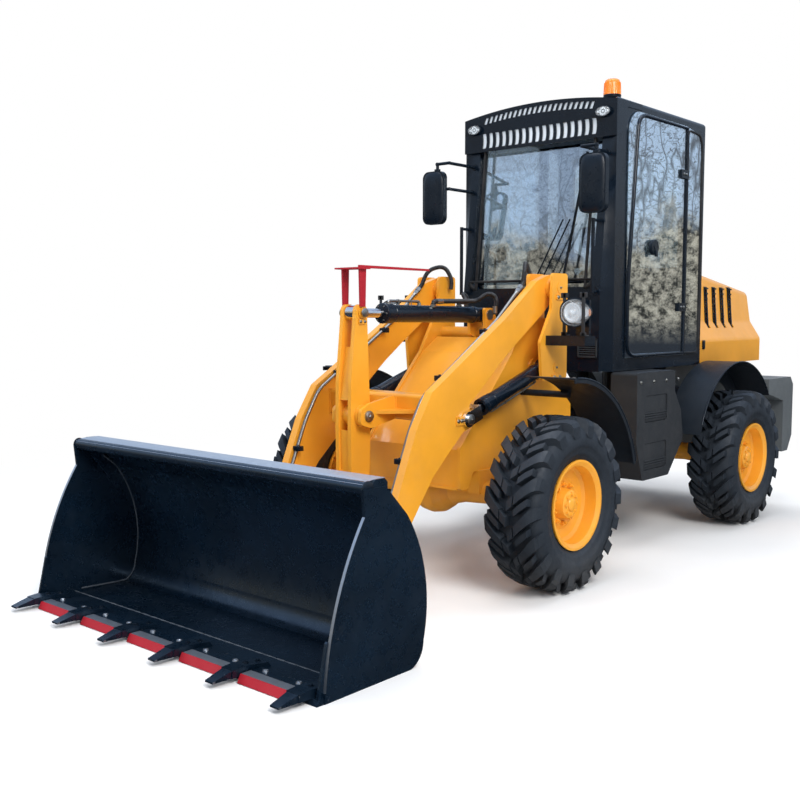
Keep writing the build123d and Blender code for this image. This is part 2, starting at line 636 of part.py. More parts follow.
LEG_Y = CRANK_PLATE_Y + CRANK_PLATE / 2 + 6.0
POINTER_Z = top_z + 244.0
with BuildPart() as level_indicator:
    for side in (1, -1):
        leg = [(top_x - 20, top_z + 34), (top_x + 20, top_z + 34), (top_x + 26, POINTER_Z), (top_x - 26, POINTER_Z)]
        extrude(side_profile(side * LEG_Y, leg), amount=6, both=True)
    head = [(top_x - 40, POINTER_Z - 1), (top_x + 60, POINTER_Z - 1), (top_x + 60, POINTER_Z + 8), (top_x - 40, POINTER_Z + 8)]
    extrude(side_profile(0, head), amount=POINTER_Y + 12, both=True)
    pointer = [
        (top_x - 560, POINTER_Z + 4), (top_x - 560, POINTER_Z + 16), (top_x + 40, POINTER_Z + 20), (top_x + 40, POINTER_Z + 4),
    ]
    extrude(side_profile(POINTER_Y, pointer), amount=9, both=True)
write("level_indicator", level_indicator.part)


# ----------------------------------------------------------------------------------------
# Pins that turn with the linkage
# ----------------------------------------------------------------------------------------
def build_pin(x, z, radius, half_length, centres=(0.0,)):
    """A round pin across the machine, once at each centre given."""
    with BuildPart() as pin:
        for centre_y in centres:
            extrude(disc_profile(centre_y, x, z, radius), amount=half_length, both=True)
    return pin.part


write("crank_pin", build_pin(*CRANK_PIVOT, CRANK_PIN_R, CRANK_BRACKET_Y + CRANK_BRACKET_PLATE / 2 + 8))
write("link_pin", build_pin(*CRANK_FOOT, CRANK_PIN_R, CRANK_PLATE_Y + CRANK_PLATE / 2 + 8))
write("tilt_base_pin", build_pin(*TILT_BASE, CRANK_PIN_R, 80))
write("bucket_pins", build_pin(*BUCKET_PIN, ARM_PIN_R, 78, centres=(ARM_Y, -ARM_Y)))


# ----------------------------------------------------------------------------------------
# Link between the crank's foot and the bucket carrier
# ----------------------------------------------------------------------------------------
link_x, link_z = LINK_PIN
link_half = CRANK_PLATE_Y - CRANK_PLATE / 2 - SIDE_CLEARANCE
link_length, link_plane = bar_axes((foot_x, 0, foot_z), (link_x, 0, link_z))
with BuildPart() as tilt_link:
    extrude(disc_profile(0, foot_x, foot_z, 56), amount=link_half, both=True)
    extrude(disc_profile(0, link_x, link_z, 46), amount=link_half, both=True)
    with BuildSketch(link_plane):
        with Locations((link_length / 2, 0)):
            Rectangle(link_length - 60, 78)
    extrude(amount=link_half - 6, both=True)
    for eye_x, eye_z in (CRANK_FOOT, LINK_PIN):
        extrude(
            disc_profile(0, eye_x, eye_z, CRANK_PIN_R + PIN_CLEARANCE),
            amount=link_half + 1,
            both=True,
            mode=Mode.SUBTRACT,
        )
write("tilt_link", tilt_link.part)


# ----------------------------------------------------------------------------------------
# Hydraulic cylinders
# ----------------------------------------------------------------------------------------
def build_barrel(base, tip, radius, bore, start, length, eye_r, eye_half, pin_r):
    """A cylinder barrel from base towards tip, hollow for its rod, with a base eye."""
    full, plane = bar_axes(base, tip)
    across = plane.z_dir
    with BuildPart() as barrel:
        with BuildSketch(Plane(origin=plane.origin + plane.x_dir * start, x_dir=across, z_dir=plane.x_dir)):
            Circle(radius)
        extrude(amount=length)
        with BuildSketch(Plane(origin=plane.origin + plane.x_dir * (start + length - 70), x_dir=across, z_dir=plane.x_dir)):
            Circle(radius + 7)
        extrude(amount=70)
        with BuildSketch(Plane(origin=plane.origin, x_dir=plane.x_dir, z_dir=across)):
            Circle(eye_r)
            with Locations(((start + 20) / 2, 0)):
                Rectangle(start + 20, eye_r * 1.4)
        extrude(amount=eye_half, both=True)
        with BuildSketch(Plane(origin=plane.origin, x_dir=plane.x_dir, z_dir=across)):
            Circle(pin_r + PIN_CLEARANCE)
        extrude(amount=eye_half + 1, both=True, mode=Mode.SUBTRACT)
        with BuildSketch(Plane(origin=plane.origin + plane.x_dir * (start + 22), x_dir=across, z_dir=plane.x_dir)):
            Circle(bore)
        extrude(amount=length, mode=Mode.SUBTRACT)
    return barrel.part


def build_rod(base, tip, radius, inner, eye_r, eye_half, hole_r=0.0):
    """A cylinder rod from a distance inner above the base to its eye at tip, solid where hole_r is 0."""
    full, plane = bar_axes(base, tip)
    across = plane.z_dir
    with BuildPart() as rod:
        with BuildSketch(Plane(origin=plane.origin + plane.x_dir * inner, x_dir=across, z_dir=plane.x_dir)):
            Circle(radius)
        extrude(amount=full - inner - eye_r * 0.7)
        with BuildSketch(Plane(origin=plane.origin + plane.x_dir * full, x_dir=plane.x_dir, z_dir=across)):
            Circle(eye_r)
            with Locations((-eye_r, 0)):
                Rectangle(eye_r * 1.2, eye_r * 1.5)
        extrude(amount=eye_half, both=True)
        if hole_r:
            with BuildSketch(Plane(origin=plane.origin + plane.x_dir * full, x_dir=plane.x_dir, z_dir=across)):
                Circle(hole_r)
            extrude(amount=eye_half + 1, both=True, mode=Mode.SUBTRACT)
    return rod.part


tilt_base_point = (TILT_BASE[0], 0, TILT_BASE[1])
tilt_eye_point = (CRANK_TOP[0], 0, CRANK_TOP[1])
tilt_length, tilt_plane = bar_axes(tilt_base_point, tilt_eye_point)
tilt_gland = tilt_length - 235
write(
    "tilt_barrel",
    build_barrel(tilt_base_point, tilt_eye_point, TILT_BARREL_R, TILT_ROD_R + 12, 70, tilt_gland - 70, 48, 40, CRANK_PIN_R),
)
write("tilt_rod", build_rod(tilt_base_point, tilt_eye_point, TILT_ROD_R, 160, 43, link_half))

# Tilt lines: the hose loops at the cylinder's base and the steel pipe to its gland
with BuildPart() as tilt_lines:
    for side in (1, -1):
        loop_y = side * 30
        gland_x = TILT_BASE[0] + (520 if side > 0 else 190)
        pipe_z = TILT_BASE[1] + TILT_BARREL_R + 30
        loop_route = [
            (gland_x, loop_y, TILT_BASE[1] + TILT_BARREL_R - 6), (gland_x, loop_y, pipe_z),
            (TILT_BASE[0] + 90, loop_y * 1.4, pipe_z + 6), (TILT_BASE[0] + 60, side * 104, pipe_z + 60),
            (TILT_BASE[0] - 20, side * 118, pipe_z + 30), (TILT_BASE[0], side * 118, TILT_BASE[1]),
        ]
        add(build_tube(loop_route, HOSE_R, 24))
    with BuildSketch(Plane(origin=tilt_plane.origin, x_dir=tilt_plane.z_dir, z_dir=tilt_plane.x_dir)):
        Circle(TILT_BARREL_R + 0.3)
    extrude(amount=tilt_gland, mode=Mode.SUBTRACT)
write("tilt_lines", tilt_lines.part)


def build_rod_fork(base, tip, radius, inner, cheek_gap, cheek):
    """A lift cylinder rod whose end is a fork that straddles the arm plate."""
    full, plane = bar_axes(base, tip)
    across = plane.z_dir
    with BuildPart() as rod:
        with BuildSketch(Plane(origin=plane.origin + plane.x_dir * inner, x_dir=across, z_dir=plane.x_dir)):
            Circle(radius)
        extrude(amount=full - inner - 118)
        with BuildSketch(Plane(origin=plane.origin + plane.x_dir * (full - 92), x_dir=plane.x_dir, z_dir=across)):
            Rectangle(56, 84)
        extrude(amount=cheek_gap / 2 + cheek, both=True)
        for side in (1, -1):
            with BuildSketch(
                Plane(
                    origin=plane.origin + plane.x_dir * full + across * (side * (cheek_gap + cheek) / 2),
                    x_dir=plane.x_dir,
                    z_dir=across,
                )
            ):
                Circle(46)
                with Locations((-46, 0)):
                    Rectangle(92, 84)
            extrude(amount=cheek / 2, both=True)
            with BuildSketch(
                Plane(
                    origin=plane.origin + plane.x_dir * full + across * (side * (cheek_gap / 2 + cheek)),
                    x_dir=plane.x_dir,
                    z_dir=across,
                )
            ):
                Circle(28)
            extrude(amount=side * 10)
    return rod.part


fork_gap = ARM_PLATE + 2 * SIDE_CLEARANCE
for wheel_side, side_sign in (("left", 1), ("right", -1)):
    lift_base_point = (LIFT_BASE[0], side_sign * ARM_Y, LIFT_BASE[1])
    lift_eye_point = (LIFT_EYE[0], side_sign * ARM_Y, LIFT_EYE[1])
    write(
        wheel_side + "_lift_barrel",
        build_barrel(lift_base_point, lift_eye_point, LIFT_BARREL_R, LIFT_ROD_R + 10, 50, 635, 46, 34, 30),
    )
    write(
        wheel_side + "_lift_rod",
        build_rod_fork(lift_base_point, lift_eye_point, LIFT_ROD_R, 90, fork_gap, 18),
    )


# ----------------------------------------------------------------------------------------
# Steering cylinders, one on each side of the pivot
# ----------------------------------------------------------------------------------------
def build_steering_barrel(side):
    """A level barrel with a vertical pin eye at its rear end."""
    y = side * STEER_Y
    with BuildPart() as barrel:
        with BuildSketch(Plane.YZ.offset(STEER_BASE_X + 40)):
            with Locations((y, STEER_Z)):
                Circle(STEER_BARREL_R)
        extrude(amount=350)
        with BuildSketch(Plane.XY.offset(STEER_Z)):
            with Locations((STEER_BASE_X, y)):
                Circle(38)
            with Locations((STEER_BASE_X + 30, y)):
                Rectangle(60, 56)
        extrude(amount=28, both=True)
        with BuildSketch(Plane.XY.offset(STEER_Z)):
            with Locations((STEER_BASE_X, y)):
                Circle(20 + PIN_CLEARANCE)
        extrude(amount=29, both=True, mode=Mode.SUBTRACT)
        with BuildSketch(Plane.YZ.offset(STEER_BASE_X + 62)):
            with Locations((y, STEER_Z)):
                Circle(STEER_ROD_R + 8)
        extrude(amount=400, mode=Mode.SUBTRACT)
    return barrel.part


def build_steering_rod(side):
    """A rod that ends in a round eye between the front frame's steering ears."""
    y = side * STEER_Y
    with BuildPart() as rod:
        with BuildSketch(Plane.YZ.offset(STEER_BASE_X + 190)):
            with Locations((y, STEER_Z)):
                Circle(STEER_ROD_R)
        extrude(amount=STEER_EYE_X - STEER_BASE_X - 190 - 20)
        with BuildSketch(Plane.XY.offset(STEER_Z)):
            with Locations((STEER_EYE_X, y)):
                Circle(36)
        extrude(amount=28, both=True)
    return rod.part


for wheel_side, side_sign in (("left", 1), ("right", -1)):
    write(wheel_side + "_steering_barrel", build_steering_barrel(side_sign))
    write(wheel_side + "_steering_rod", build_steering_rod(side_sign))

# ----------------------------------------------------------------------------------------
# Bucket carrier (quick hitch): two ear pairs on the arms, a frame and the link ears
# ----------------------------------------------------------------------------------------
HITCH_FACE_X = FRONT_AXLE_X + 1330.0
with BuildPart() as quick_hitch:
    for side in (1, -1):
        for ear_offset in (-1, 1):
            ear_y = side * ARM_Y + ear_offset * 56
            carrier_ear = [
                (pin_x - 55, pin_z - 45), (pin_x - 55, pin_z + 45), (pin_x + 20, pin_z + 66), (HITCH_FACE_X, link_z + 130),
                (HITCH_FACE_X, pin_z - 90), (pin_x + 40, pin_z - 62),
            ]
            extrude(
                side_profile(ear_y, carrier_ear, corner=24, holes=[(*BUCKET_PIN, ARM_PIN_R + PIN_CLEARANCE)]),
                amount=9,
                both=True,
            )
        link_ear = [
            (link_x - 50, link_z - 44), (link_x - 50, link_z + 46), (HITCH_FACE_X - 60, link_z + 120),
            (HITCH_FACE_X, link_z + 120), (HITCH_FACE_X, link_z - 140),
        ]
        extrude(side_profile(side * CRANK_PLATE_Y, link_ear, corner=22), amount=11, both=True)
    # Upper and lower cross bars and the face plate behind the bucket
    for bar_z, depth in ((pin_z - 60, 68), (link_z + 110, 38)):
        with BuildSketch(Plane.XZ):
            with Locations((HITCH_FACE_X - depth / 2, bar_z)):
                Rectangle(depth, 52)
        extrude(amount=ARM_Y + 65, both=True)
write("quick_hitch", quick_hitch.part)

# ----------------------------------------------------------------------------------------
# Bucket: side plates, wrapped sheet, lip plate and the box bar along its top edge
# ----------------------------------------------------------------------------------------
half_bucket = BUCKET_WIDTH / 2
heel_x = FRONT_AXLE_X + 1555.0
bulge_x = FRONT_AXLE_X + 1449.0
crest_x = FRONT_AXLE_X + 1735.0
SHEET_T = 12.0


def wrap_points(inset):
    """Floor start, heel arc, back arc and crest of the bucket's sheet, moved inward by inset."""
    return [
        (LIP_X, inset), (heel_x + 6, inset), (heel_x - 46 + 0.7 * inset, 36 + 0.7 * inset),
        (bulge_x + 30 + inset, 112), (bulge_x + 8 + inset, 320), (bulge_x + 142 + inset, 700 - 0.4 * inset),
        (crest_x - 6 + 0.7 * inset, 842 - 0.7 * inset),
    ]


with BuildPart() as bucket:
    # Side plates: rear edge follows the sheet, front edge bows out towards the lip
    edge = wrap_points(-6)
    for side in (1, -1):
        with BuildSketch(Plane.XZ.offset(-side * (half_bucket - BUCKET_SIDE_T / 2))):
            with BuildLine():
                Line((LIP_X, 0), (heel_x + 6, 0))
                ThreePointArc((heel_x + 6, 0), edge[2], edge[3])
                ThreePointArc(edge[3], edge[4], edge[5])
                Polyline(edge[5], edge[6], (crest_x + 130, 846), (crest_x + 118, 730))
                ThreePointArc((crest_x + 118, 730), (LIP_X - 82, 400), (LIP_X - 8, 44))
                Line((LIP_X - 8, 44), (LIP_X, 0))
            make_face()
        extrude(amount=BUCKET_SIDE_T / 2, both=True)
        # Side cutter: a second plate along the lower front edge
        cutter = [(LIP_X + 30, 0), (LIP_X + 18, 40), (LIP_X - 30, 250), (LIP_X - 96, 236), (LIP_X - 240, 60), (LIP_X - 240, 0)]
        extrude(side_profile(side * (half_bucket - BUCKET_SIDE_T - 6), cutter, corner=12), amount=7, both=True)
    # Rolled sheet between the side plates
    outer, inner = wrap_points(0), wrap_points(SHEET_T)
    with BuildSketch(Plane.XZ):
        with BuildLine():
            Line(outer[0], outer[1])
            ThreePointArc(outer[1], outer[2], outer[3])
            ThreePointArc(outer[3], outer[4], outer[5])
            Polyline(outer[5], outer[6], inner[6], inner[5])
            ThreePointArc(inner[5], inner[4], inner[3])
            ThreePointArc(inner[3], inner[2], inner[1])
            Polyline(inner[1], inner[0], outer[0])
        make_face()
    extrude(amount=half_bucket - BUCKET_SIDE_T + 0.5, both=True)
    # Lip plate with bolted edge segments between the teeth, and the top bar with its rolled front
    lip = [(LIP_X - 200, 0), (LIP_X + 40, 0), (LIP_X + 22, 22), (LIP_X - 200, 22)]
    extrude(side_profile(0, lip), amount=half_bucket - 4, both=True)
    segment_length = TOOTH_PITCH - TOOTH_WIDTH - 2 * SIDE_CLEARANCE
    segment = [(LIP_X - 60, 21), (LIP_X - 60, 36), (LIP_X + 60, 36), (LIP_X + 78, 2), (LIP_X + 20, 2)]
    for index in range(TOOTH_COUNT - 1):
        segment_y = -TOOTH_SPAN / 2 + TOOTH_PITCH * (index + 0.5)
        extrude(side_profile(segment_y, segment), amount=segment_length / 2, both=True)
    top_bar = [(crest_x - 26, 800), (crest_x - 26, 862), (crest_x - 8, 880), (crest_x + 52, 880), (crest_x + 90, 850), (crest_x + 90, 812)]
    extrude(side_profile(0, top_bar, corner=8), amount=half_bucket - 4, both=True)
    extrude(disc_profile(0, crest_x + 96, 846, 30), amount=half_bucket - 4, both=True)
    # Corner gussets under the bar, one at each side plate
    for side in (1, -1):
        gusset = [(crest_x - 10, 800), (crest_x + 80, 815), (crest_x - 60, 640)]
        extrude(side_profile(side * (half_bucket - 60), gusset), amount=5, both=True)
    # Mounting pads that meet the carrier
    for side in (1, -1):
        pad = [
            (HITCH_FACE_X, 190), (HITCH_FACE_X, 560), (bulge_x + 54, 520), (bulge_x + 26, 430), (bulge_x + 13, 330), (bulge_x + 16, 200),
        ]
        for pad_y in (side * (ARM_Y - 56), side * (ARM_Y + 56)):
            extrude(side_profile(pad_y, pad), amount=9, both=True)
write("bucket", bucket.part)

with BuildPart() as bucket_teeth:
    for index in range(TOOTH_COUNT):
        tooth_y = -TOOTH_SPAN / 2 + TOOTH_PITCH * index
        # Long shank on the lip, then a pointed tip that narrows to its edge
        shank = [(LIP_X - 120, 22.3), (LIP_X - 104, 44), (LIP_X + 30, 62), (LIP_X + 96, 58), (LIP_X + 100, 24), (LIP_X + 24, 22.3)]
        extrude(side_profile(tooth_y, shank), amount=TOOTH_WIDTH / 2, both=True)
        with BuildSketch(Plane.YZ.offset(LIP_X + 88)):
            with Locations((tooth_y, 40)):
                Rectangle(TOOTH_WIDTH - 8, 34)
        with BuildSketch(Plane.YZ.offset(TOOTH_TIP_X)):
            with Locations((tooth_y, 27)):
                Rectangle(TOOTH_WIDTH - 26, 8)
        loft()
write("bucket_teeth", bucket_teeth.part)

# ----------------------------------------------------------------------------------------
# Rear frame: two rails with an arch over the axle, cross walls and the articulation fork
# ----------------------------------------------------------------------------------------
RAIL_FRONT_X = PIVOT_X - 275.0
rail_points = [
    (RAIL_FRONT_X, 400), (RAIL_FRONT_X, 1000), (CAB_REAR_X, 1000), (CAB_REAR_X - 60, RAIL_TOP_Z), (REAR_END_X + 220, RAIL_TOP_Z),
    (REAR_END_X + 220, 560), (REAR_AXLE_X - 330, FRAME_BOTTOM_Z), (REAR_AXLE_X + 300, FRAME_BOTTOM_Z),
    (REAR_AXLE_X + 420, 400),
]
with BuildPart() as rear_frame:
    for side in (1, -1):
        rail_y = side * (RAIL_Y + RAIL_PLATE / 2)
        extrude(side_profile(rail_y, rail_points), amount=RAIL_PLATE / 2, both=True)
    for wall_x in (CROSSWALL_X, REAR_AXLE_X + 330, REAR_END_X + 235):
        with BuildSketch(Plane.YZ.offset(wall_x)):
            low = 640 if wall_x < REAR_AXLE_X + 400 else 380
            high = RAIL_TOP_Z if wall_x < CAB_REAR_X else 970
            with Locations((0, (low + high) / 2)):
                Rectangle(2 * RAIL_Y + 1, high - low)
            if wall_x == CROSSWALL_X:
                with Locations((0, SHAFT_Z)):
                    Circle(64, mode=Mode.SUBTRACT)
        extrude(amount=-20)
    fork_planes = []
    for lug_z in (LOWER_LUG_Z, UPPER_LUG_Z):
        for direction in (1, -1):
            fork_planes.append(lug_z + direction * (LUG_THICKNESS / 2 + SIDE_CLEARANCE + FORK_PLATE / 2))
    for fork_z in fork_planes:
        outline = mirrored([(PIVOT_X, 95), (PIVOT_X - 60, 100), (CROSSWALL_X - 1, RAIL_Y + 1)])
        extrude(plan_profile(fork_z, outline), amount=FORK_PLATE / 2, both=True)
        with BuildSketch(Plane.XY.offset(fork_z)):
            with Locations((PIVOT_X, 0)):
                Circle(100)
        extrude(amount=FORK_PLATE / 2, both=True)
    for lug_z in (LOWER_LUG_Z, UPPER_LUG_Z):
        with BuildSketch(Plane.XY.offset(lug_z)):
            with Locations((PIVOT_X, 0)):
                Circle(ARTICULATION_PIN_R)
        extrude(amount=LUG_THICKNESS / 2 + SIDE_CLEARANCE + FORK_PLATE + 12, both=True)
    # Steering cylinder seats: ears in front of the cross wall with their upright pins
    for side in (1, -1):
        for ear_z in (STEER_Z - 42, STEER_Z + 42):
            seat_outline = [
                (CROSSWALL_X - 1, side * STEER_Y - 60), (CROSSWALL_X - 1, side * STEER_Y + 60),
                (STEER_BASE_X + 30, side * STEER_Y + 36), (STEER_BASE_X + 30, side * STEER_Y - 36),
            ]
            extrude(plan_profile(ear_z, seat_outline), amount=8, both=True)
        with BuildSketch(Plane.XY.offset(STEER_Z)):
            with Locations((STEER_BASE_X, side * STEER_Y)):
                Circle(20)
        extrude(amount=50, both=True)
    # Outriggers that carry the side boxes and rear mudguards
    outrigger_length = BOX_INNER_Y - RAIL_Y - RAIL_PLATE
    fender_reach = REAR_FENDER_INNER_Y - RAIL_Y - RAIL_PLATE
    for side in (1, -1):
        for outrigger_x, outrigger_z, reach in (
            ((RAIL_FRONT_X + BOX_REAR_X) / 2, RAIL_TOP_Z - 60, outrigger_length), (REAR_AXLE_X + 440, RAIL_TOP_Z + 100, fender_reach),
            (REAR_AXLE_X - 480, RAIL_TOP_Z - 50, fender_reach),
        ):
            with BuildSketch(Plane.XZ.offset(-side * (RAIL_Y + RAIL_PLATE))):
                with Locations((outrigger_x, outrigger_z)):
                    Rectangle(80, 80)
            extrude(amount=-side * reach)
    # Cab pedestals on the rails
    for side in (1, -1):
        for pedestal_x in (RAIL_FRONT_X - 60, CAB_REAR_X + 110):
            with BuildSketch(Plane.XY.offset(1000)):
                with Locations((pedestal_x, side * (RAIL_Y + RAIL_PLATE / 2))):
                    Circle(52)
            extrude(amount=CAB_FLOOR_Z - 1000)
write("rear_frame", rear_frame.part)

# ----------------------------------------------------------------------------------------
# Engine block and counterweight
# ----------------------------------------------------------------------------------------
ENGINE_FRONT_X = CAB_REAR_X - 120.0
ENGINE_REAR_X = REAR_END_X + 360.0
with BuildPart() as engine_block:
    with BuildSketch(Plane.XY.offset(RAIL_TOP_Z - 220)):
        with Locations(((ENGINE_FRONT_X + ENGINE_REAR_X) / 2, 0)):
            Rectangle(ENGINE_FRONT_X - ENGINE_REAR_X, 560)
    extrude(amount=740)
write("engine_block", engine_block.part)

TOW_SHELF_Z = 600.0
TOW_JAW = 145.0
TOW_PLATE = 25.0
TOW_PIN_R = 16.0
HITCH_BOLT_Y = 150.0
HITCH_BOLT_Z = 750.0
HITCH_BOLT_R = 11.0
with BuildPart() as counterweight:
    weight_outline = [
        (REAR_END_X, 560), (REAR_END_X, 985), (REAR_END_X + 60, 1050), (REAR_END_X + 530, 1050), (REAR_END_X + 530, 930),
        (REAR_END_X + 210, 860), (REAR_END_X + 210, 436), (REAR_END_X + 90, 436),
    ]
    extrude(side_profile(0, weight_outline), amount=880, both=True)
    # Room for the wheels, the rails and the tow jaw
    with BuildSketch(Plane.XY.offset(400)):
        with Locations((REAR_END_X + 640, 0)):
            Rectangle(860, 2 * HOOD_FLARE + 60)
    extrude(amount=800, mode=Mode.SUBTRACT)
    # Posts under the hood's hinges
    for side in (1, -1):
        with BuildSketch(Plane.XY.offset(1000)):
            with Locations((HOOD_HINGE_X, side * HOOD_HINGE_Y)):
                Rectangle(50, 100)
        extrude(amount=HOOD_BOTTOM_Z - 1030)
    # Bores in the rear face for a bolted hitch
    with BuildSketch(Plane.YZ.offset(REAR_END_X)):
        with Locations((0, HITCH_BOLT_Z)):
            with GridLocations(2 * HITCH_BOLT_Y, 200, 2, 2):
                Circle(HITCH_BOLT_R)
    extrude(amount=60, mode=Mode.SUBTRACT)
    # Tow notch, open to the rear and top, with a plate across it and a bore for the tow pin
    with BuildSketch(Plane.XY.offset(TOW_SHELF_Z)):
        with Locations((REAR_END_X + 65, 0)):
            Rectangle(170, 180)
    extrude(amount=600, mode=Mode.SUBTRACT)
    with BuildSketch(Plane.XY.offset(TOW_SHELF_Z + TOW_JAW)):
        with Locations((REAR_END_X + 80, 0)):
            Rectangle(141, 181)
    extrude(amount=TOW_PLATE)
    with BuildSketch(Plane.XY.offset(430)):
        with Locations((REAR_END_X + 110, 0)):
            Circle(TOW_PIN_R)
    extrude(amount=TOW_SHELF_Z + TOW_JAW + TOW_PLATE - 430, mode=Mode.SUBTRACT)
write("counterweight", counterweight.part)

# ----------------------------------------------------------------------------------------
# Side boxes with steps, and the rear mudguards behind them
# ----------------------------------------------------------------------------------------
def build_side_box(side):
    """The hollow-fronted step box on one side: two open tread recesses in its outer face."""
    middle_y = side * (BOX_INNER_Y + BOX_OUTER_Y) / 2
    half = (BOX_OUTER_Y - BOX_INNER_Y) / 2
    points = [
        (BOX_FRONT_X, CAB_FLOOR_Z - 5), (BOX_FRONT_X, 720), (BOX_FRONT_X - 90, BOX_BOTTOM_Z), (BOX_REAR_X + 240, BOX_BOTTOM_Z),
        (BOX_REAR_X + 20, 700), (BOX_REAR_X + 60, 900), (BOX_REAR_X + 160, 1040), (BOX_REAR_X + 160, CAB_FLOOR_Z - 5),
    ]
    with BuildPart() as box:
        extrude(side_profile(middle_y, points, corner=20), amount=half, both=True)
        for step_z in (620, 940):
            recess = [
                (BOX_FRONT_X - 110, step_z - 90), (BOX_FRONT_X - 110, step_z + 90), (BOX_FRONT_X - 430, step_z + 90),
                (BOX_FRONT_X - 430, step_z - 90),
            ]
            extrude(side_profile(side * (BOX_OUTER_Y - 60), recess, corner=18), amount=62, both=True, mode=Mode.SUBTRACT)
    return box.part


write("left_side_box", build_side_box(1))
write("right_side_box", build_side_box(-1))

with BuildPart() as rear_fenders:
    for side in (1, -1):
        middle_y = side * (REAR_FENDER_INNER_Y + REAR_FENDER_OUTER_Y) / 2
        half_width = (REAR_FENDER_OUTER_Y - REAR_FENDER_INNER_Y) / 2
        extrude(arch_profile(middle_y, REAR_AXLE_X, FENDER_R, FENDER_T, 18, 143), amount=half_width, both=True)
        extrude(arch_profile(side * (REAR_FENDER_INNER_Y + 4), REAR_AXLE_X, FENDER_R, 130, 30, 143), amount=4, both=True)
write("rear_fenders", rear_fenders.part)

# ----------------------------------------------------------------------------------------
# Cab: hollow shell with its openings, roof, visor and glass
# ----------------------------------------------------------------------------------------
def cab_plan(inset, nose_x):
    """Plan outline of the cab, moved inward by inset."""
    return mirrored(
        [
            (nose_x - inset, CAB_NOSE_HALF_Y - inset * 0.4), (CAB_SIDE_FRONT_X - inset * 0.3, CAB_HALF_WIDTH - inset),
            (CAB_REAR_X + inset, CAB_HALF_WIDTH - inset),
        ]
    )


def side_opening(inset):
    """The glazed opening in each side of the cab, with round upper corners."""
    front, rear, head = DOOR_FRONT_X - inset, CAB_REAR_X + 60 + inset, DOOR_HEAD_Z - inset
    with BuildSketch(Plane.XZ) as opening:
        with BuildLine():
            Line((front, CAB_SILL_Z + inset), (rear, CAB_SILL_Z + inset))
            Line((rear, CAB_SILL_Z + inset), (rear, head - DOOR_CORNER_R))
            RadiusArc((rear, head - DOOR_CORNER_R), (rear + DOOR_CORNER_R, head), DOOR_CORNER_R)
            Line((rear + DOOR_CORNER_R, head), (front - DOOR_CORNER_R, head))
            RadiusArc((front - DOOR_CORNER_R, head), (front, head - DOOR_CORNER_R), DOOR_CORNER_R)
            Line((front, head - DOOR_CORNER_R), (front, CAB_SILL_Z + inset))
        make_face()
    return opening.sketch


with BuildPart() as cab_frame:
    loft([plan_profile(WINDSCREEN_FOOT_Z, cab_plan(0, CAB_NOSE_X)), plan_profile(CAB_TOP_Z - 60, cab_plan(0, CAB_NOSE_X - SCREEN_LEAN))])
    extrude(plan_profile(CAB_FLOOR_Z, cab_plan(0, CAB_NOSE_X)), amount=WINDSCREEN_FOOT_Z - CAB_FLOOR_Z)
    loft(
        [
            plan_profile(WINDSCREEN_FOOT_Z, cab_plan(CAB_WALL, CAB_NOSE_X)),
            plan_profile(CAB_TOP_Z - 60, cab_plan(CAB_WALL, CAB_NOSE_X - SCREEN_LEAN)),
        ],
        mode=Mode.SUBTRACT,
    )
    extrude(
        plan_profile(CAB_FLOOR_Z + 25, cab_plan(CAB_WALL, CAB_NOSE_X)),
        amount=WINDSCREEN_FOOT_Z - CAB_FLOOR_Z - 25,
        mode=Mode.SUBTRACT,
    )
    extrude(side_opening(0), amount=CAB_HALF_WIDTH + 10, both=True, mode=Mode.SUBTRACT)
    # Windscreen and rear window openings
    with BuildSketch(Plane.YZ.offset(CAB_NOSE_X - 300)):
        with Locations((0, (WINDSCREEN_FOOT_Z + CAB_HEAD_Z) / 2)):
            RectangleRounded(2 * SCREEN_HALF_Y, CAB_HEAD_Z - WINDSCREEN_FOOT_Z, 50)
    extrude(amount=400, mode=Mode.SUBTRACT)
    with BuildSketch(Plane.YZ.offset(CAB_REAR_X - 10)):
        with Locations((0, 2340)):
            RectangleRounded(2 * CAB_HALF_WIDTH - 220, 900, 60)
    extrude(amount=CAB_WALL + 40, mode=Mode.SUBTRACT)
    # Post between the door and the rear quarter glass
    for side in (1, -1):
        post = [
            (DOOR_REAR_X - 15, CAB_SILL_Z - 5), (DOOR_REAR_X + 15, CAB_SILL_Z - 5), (DOOR_REAR_X + 15, DOOR_HEAD_Z + 5),
            (DOOR_REAR_X - 15, DOOR_HEAD_Z + 5),
        ]
        extrude(side_profile(side * (CAB_HALF_WIDTH - 22), post), amount=22, both=True)
write("cab_frame", cab_frame.part)

roof_front_x = CAB_NOSE_X - SCREEN_LEAN
with BuildPart() as cab_roof:
    roof_outline = cab_plan(0, roof_front_x)
    extrude(plan_profile(CAB_TOP_Z - 60, roof_outline), amount=60)
    fillet(cab_roof.faces().sort_by(Axis.Z)[-1].edges(), 30)
write("cab_roof", cab_roof.part)

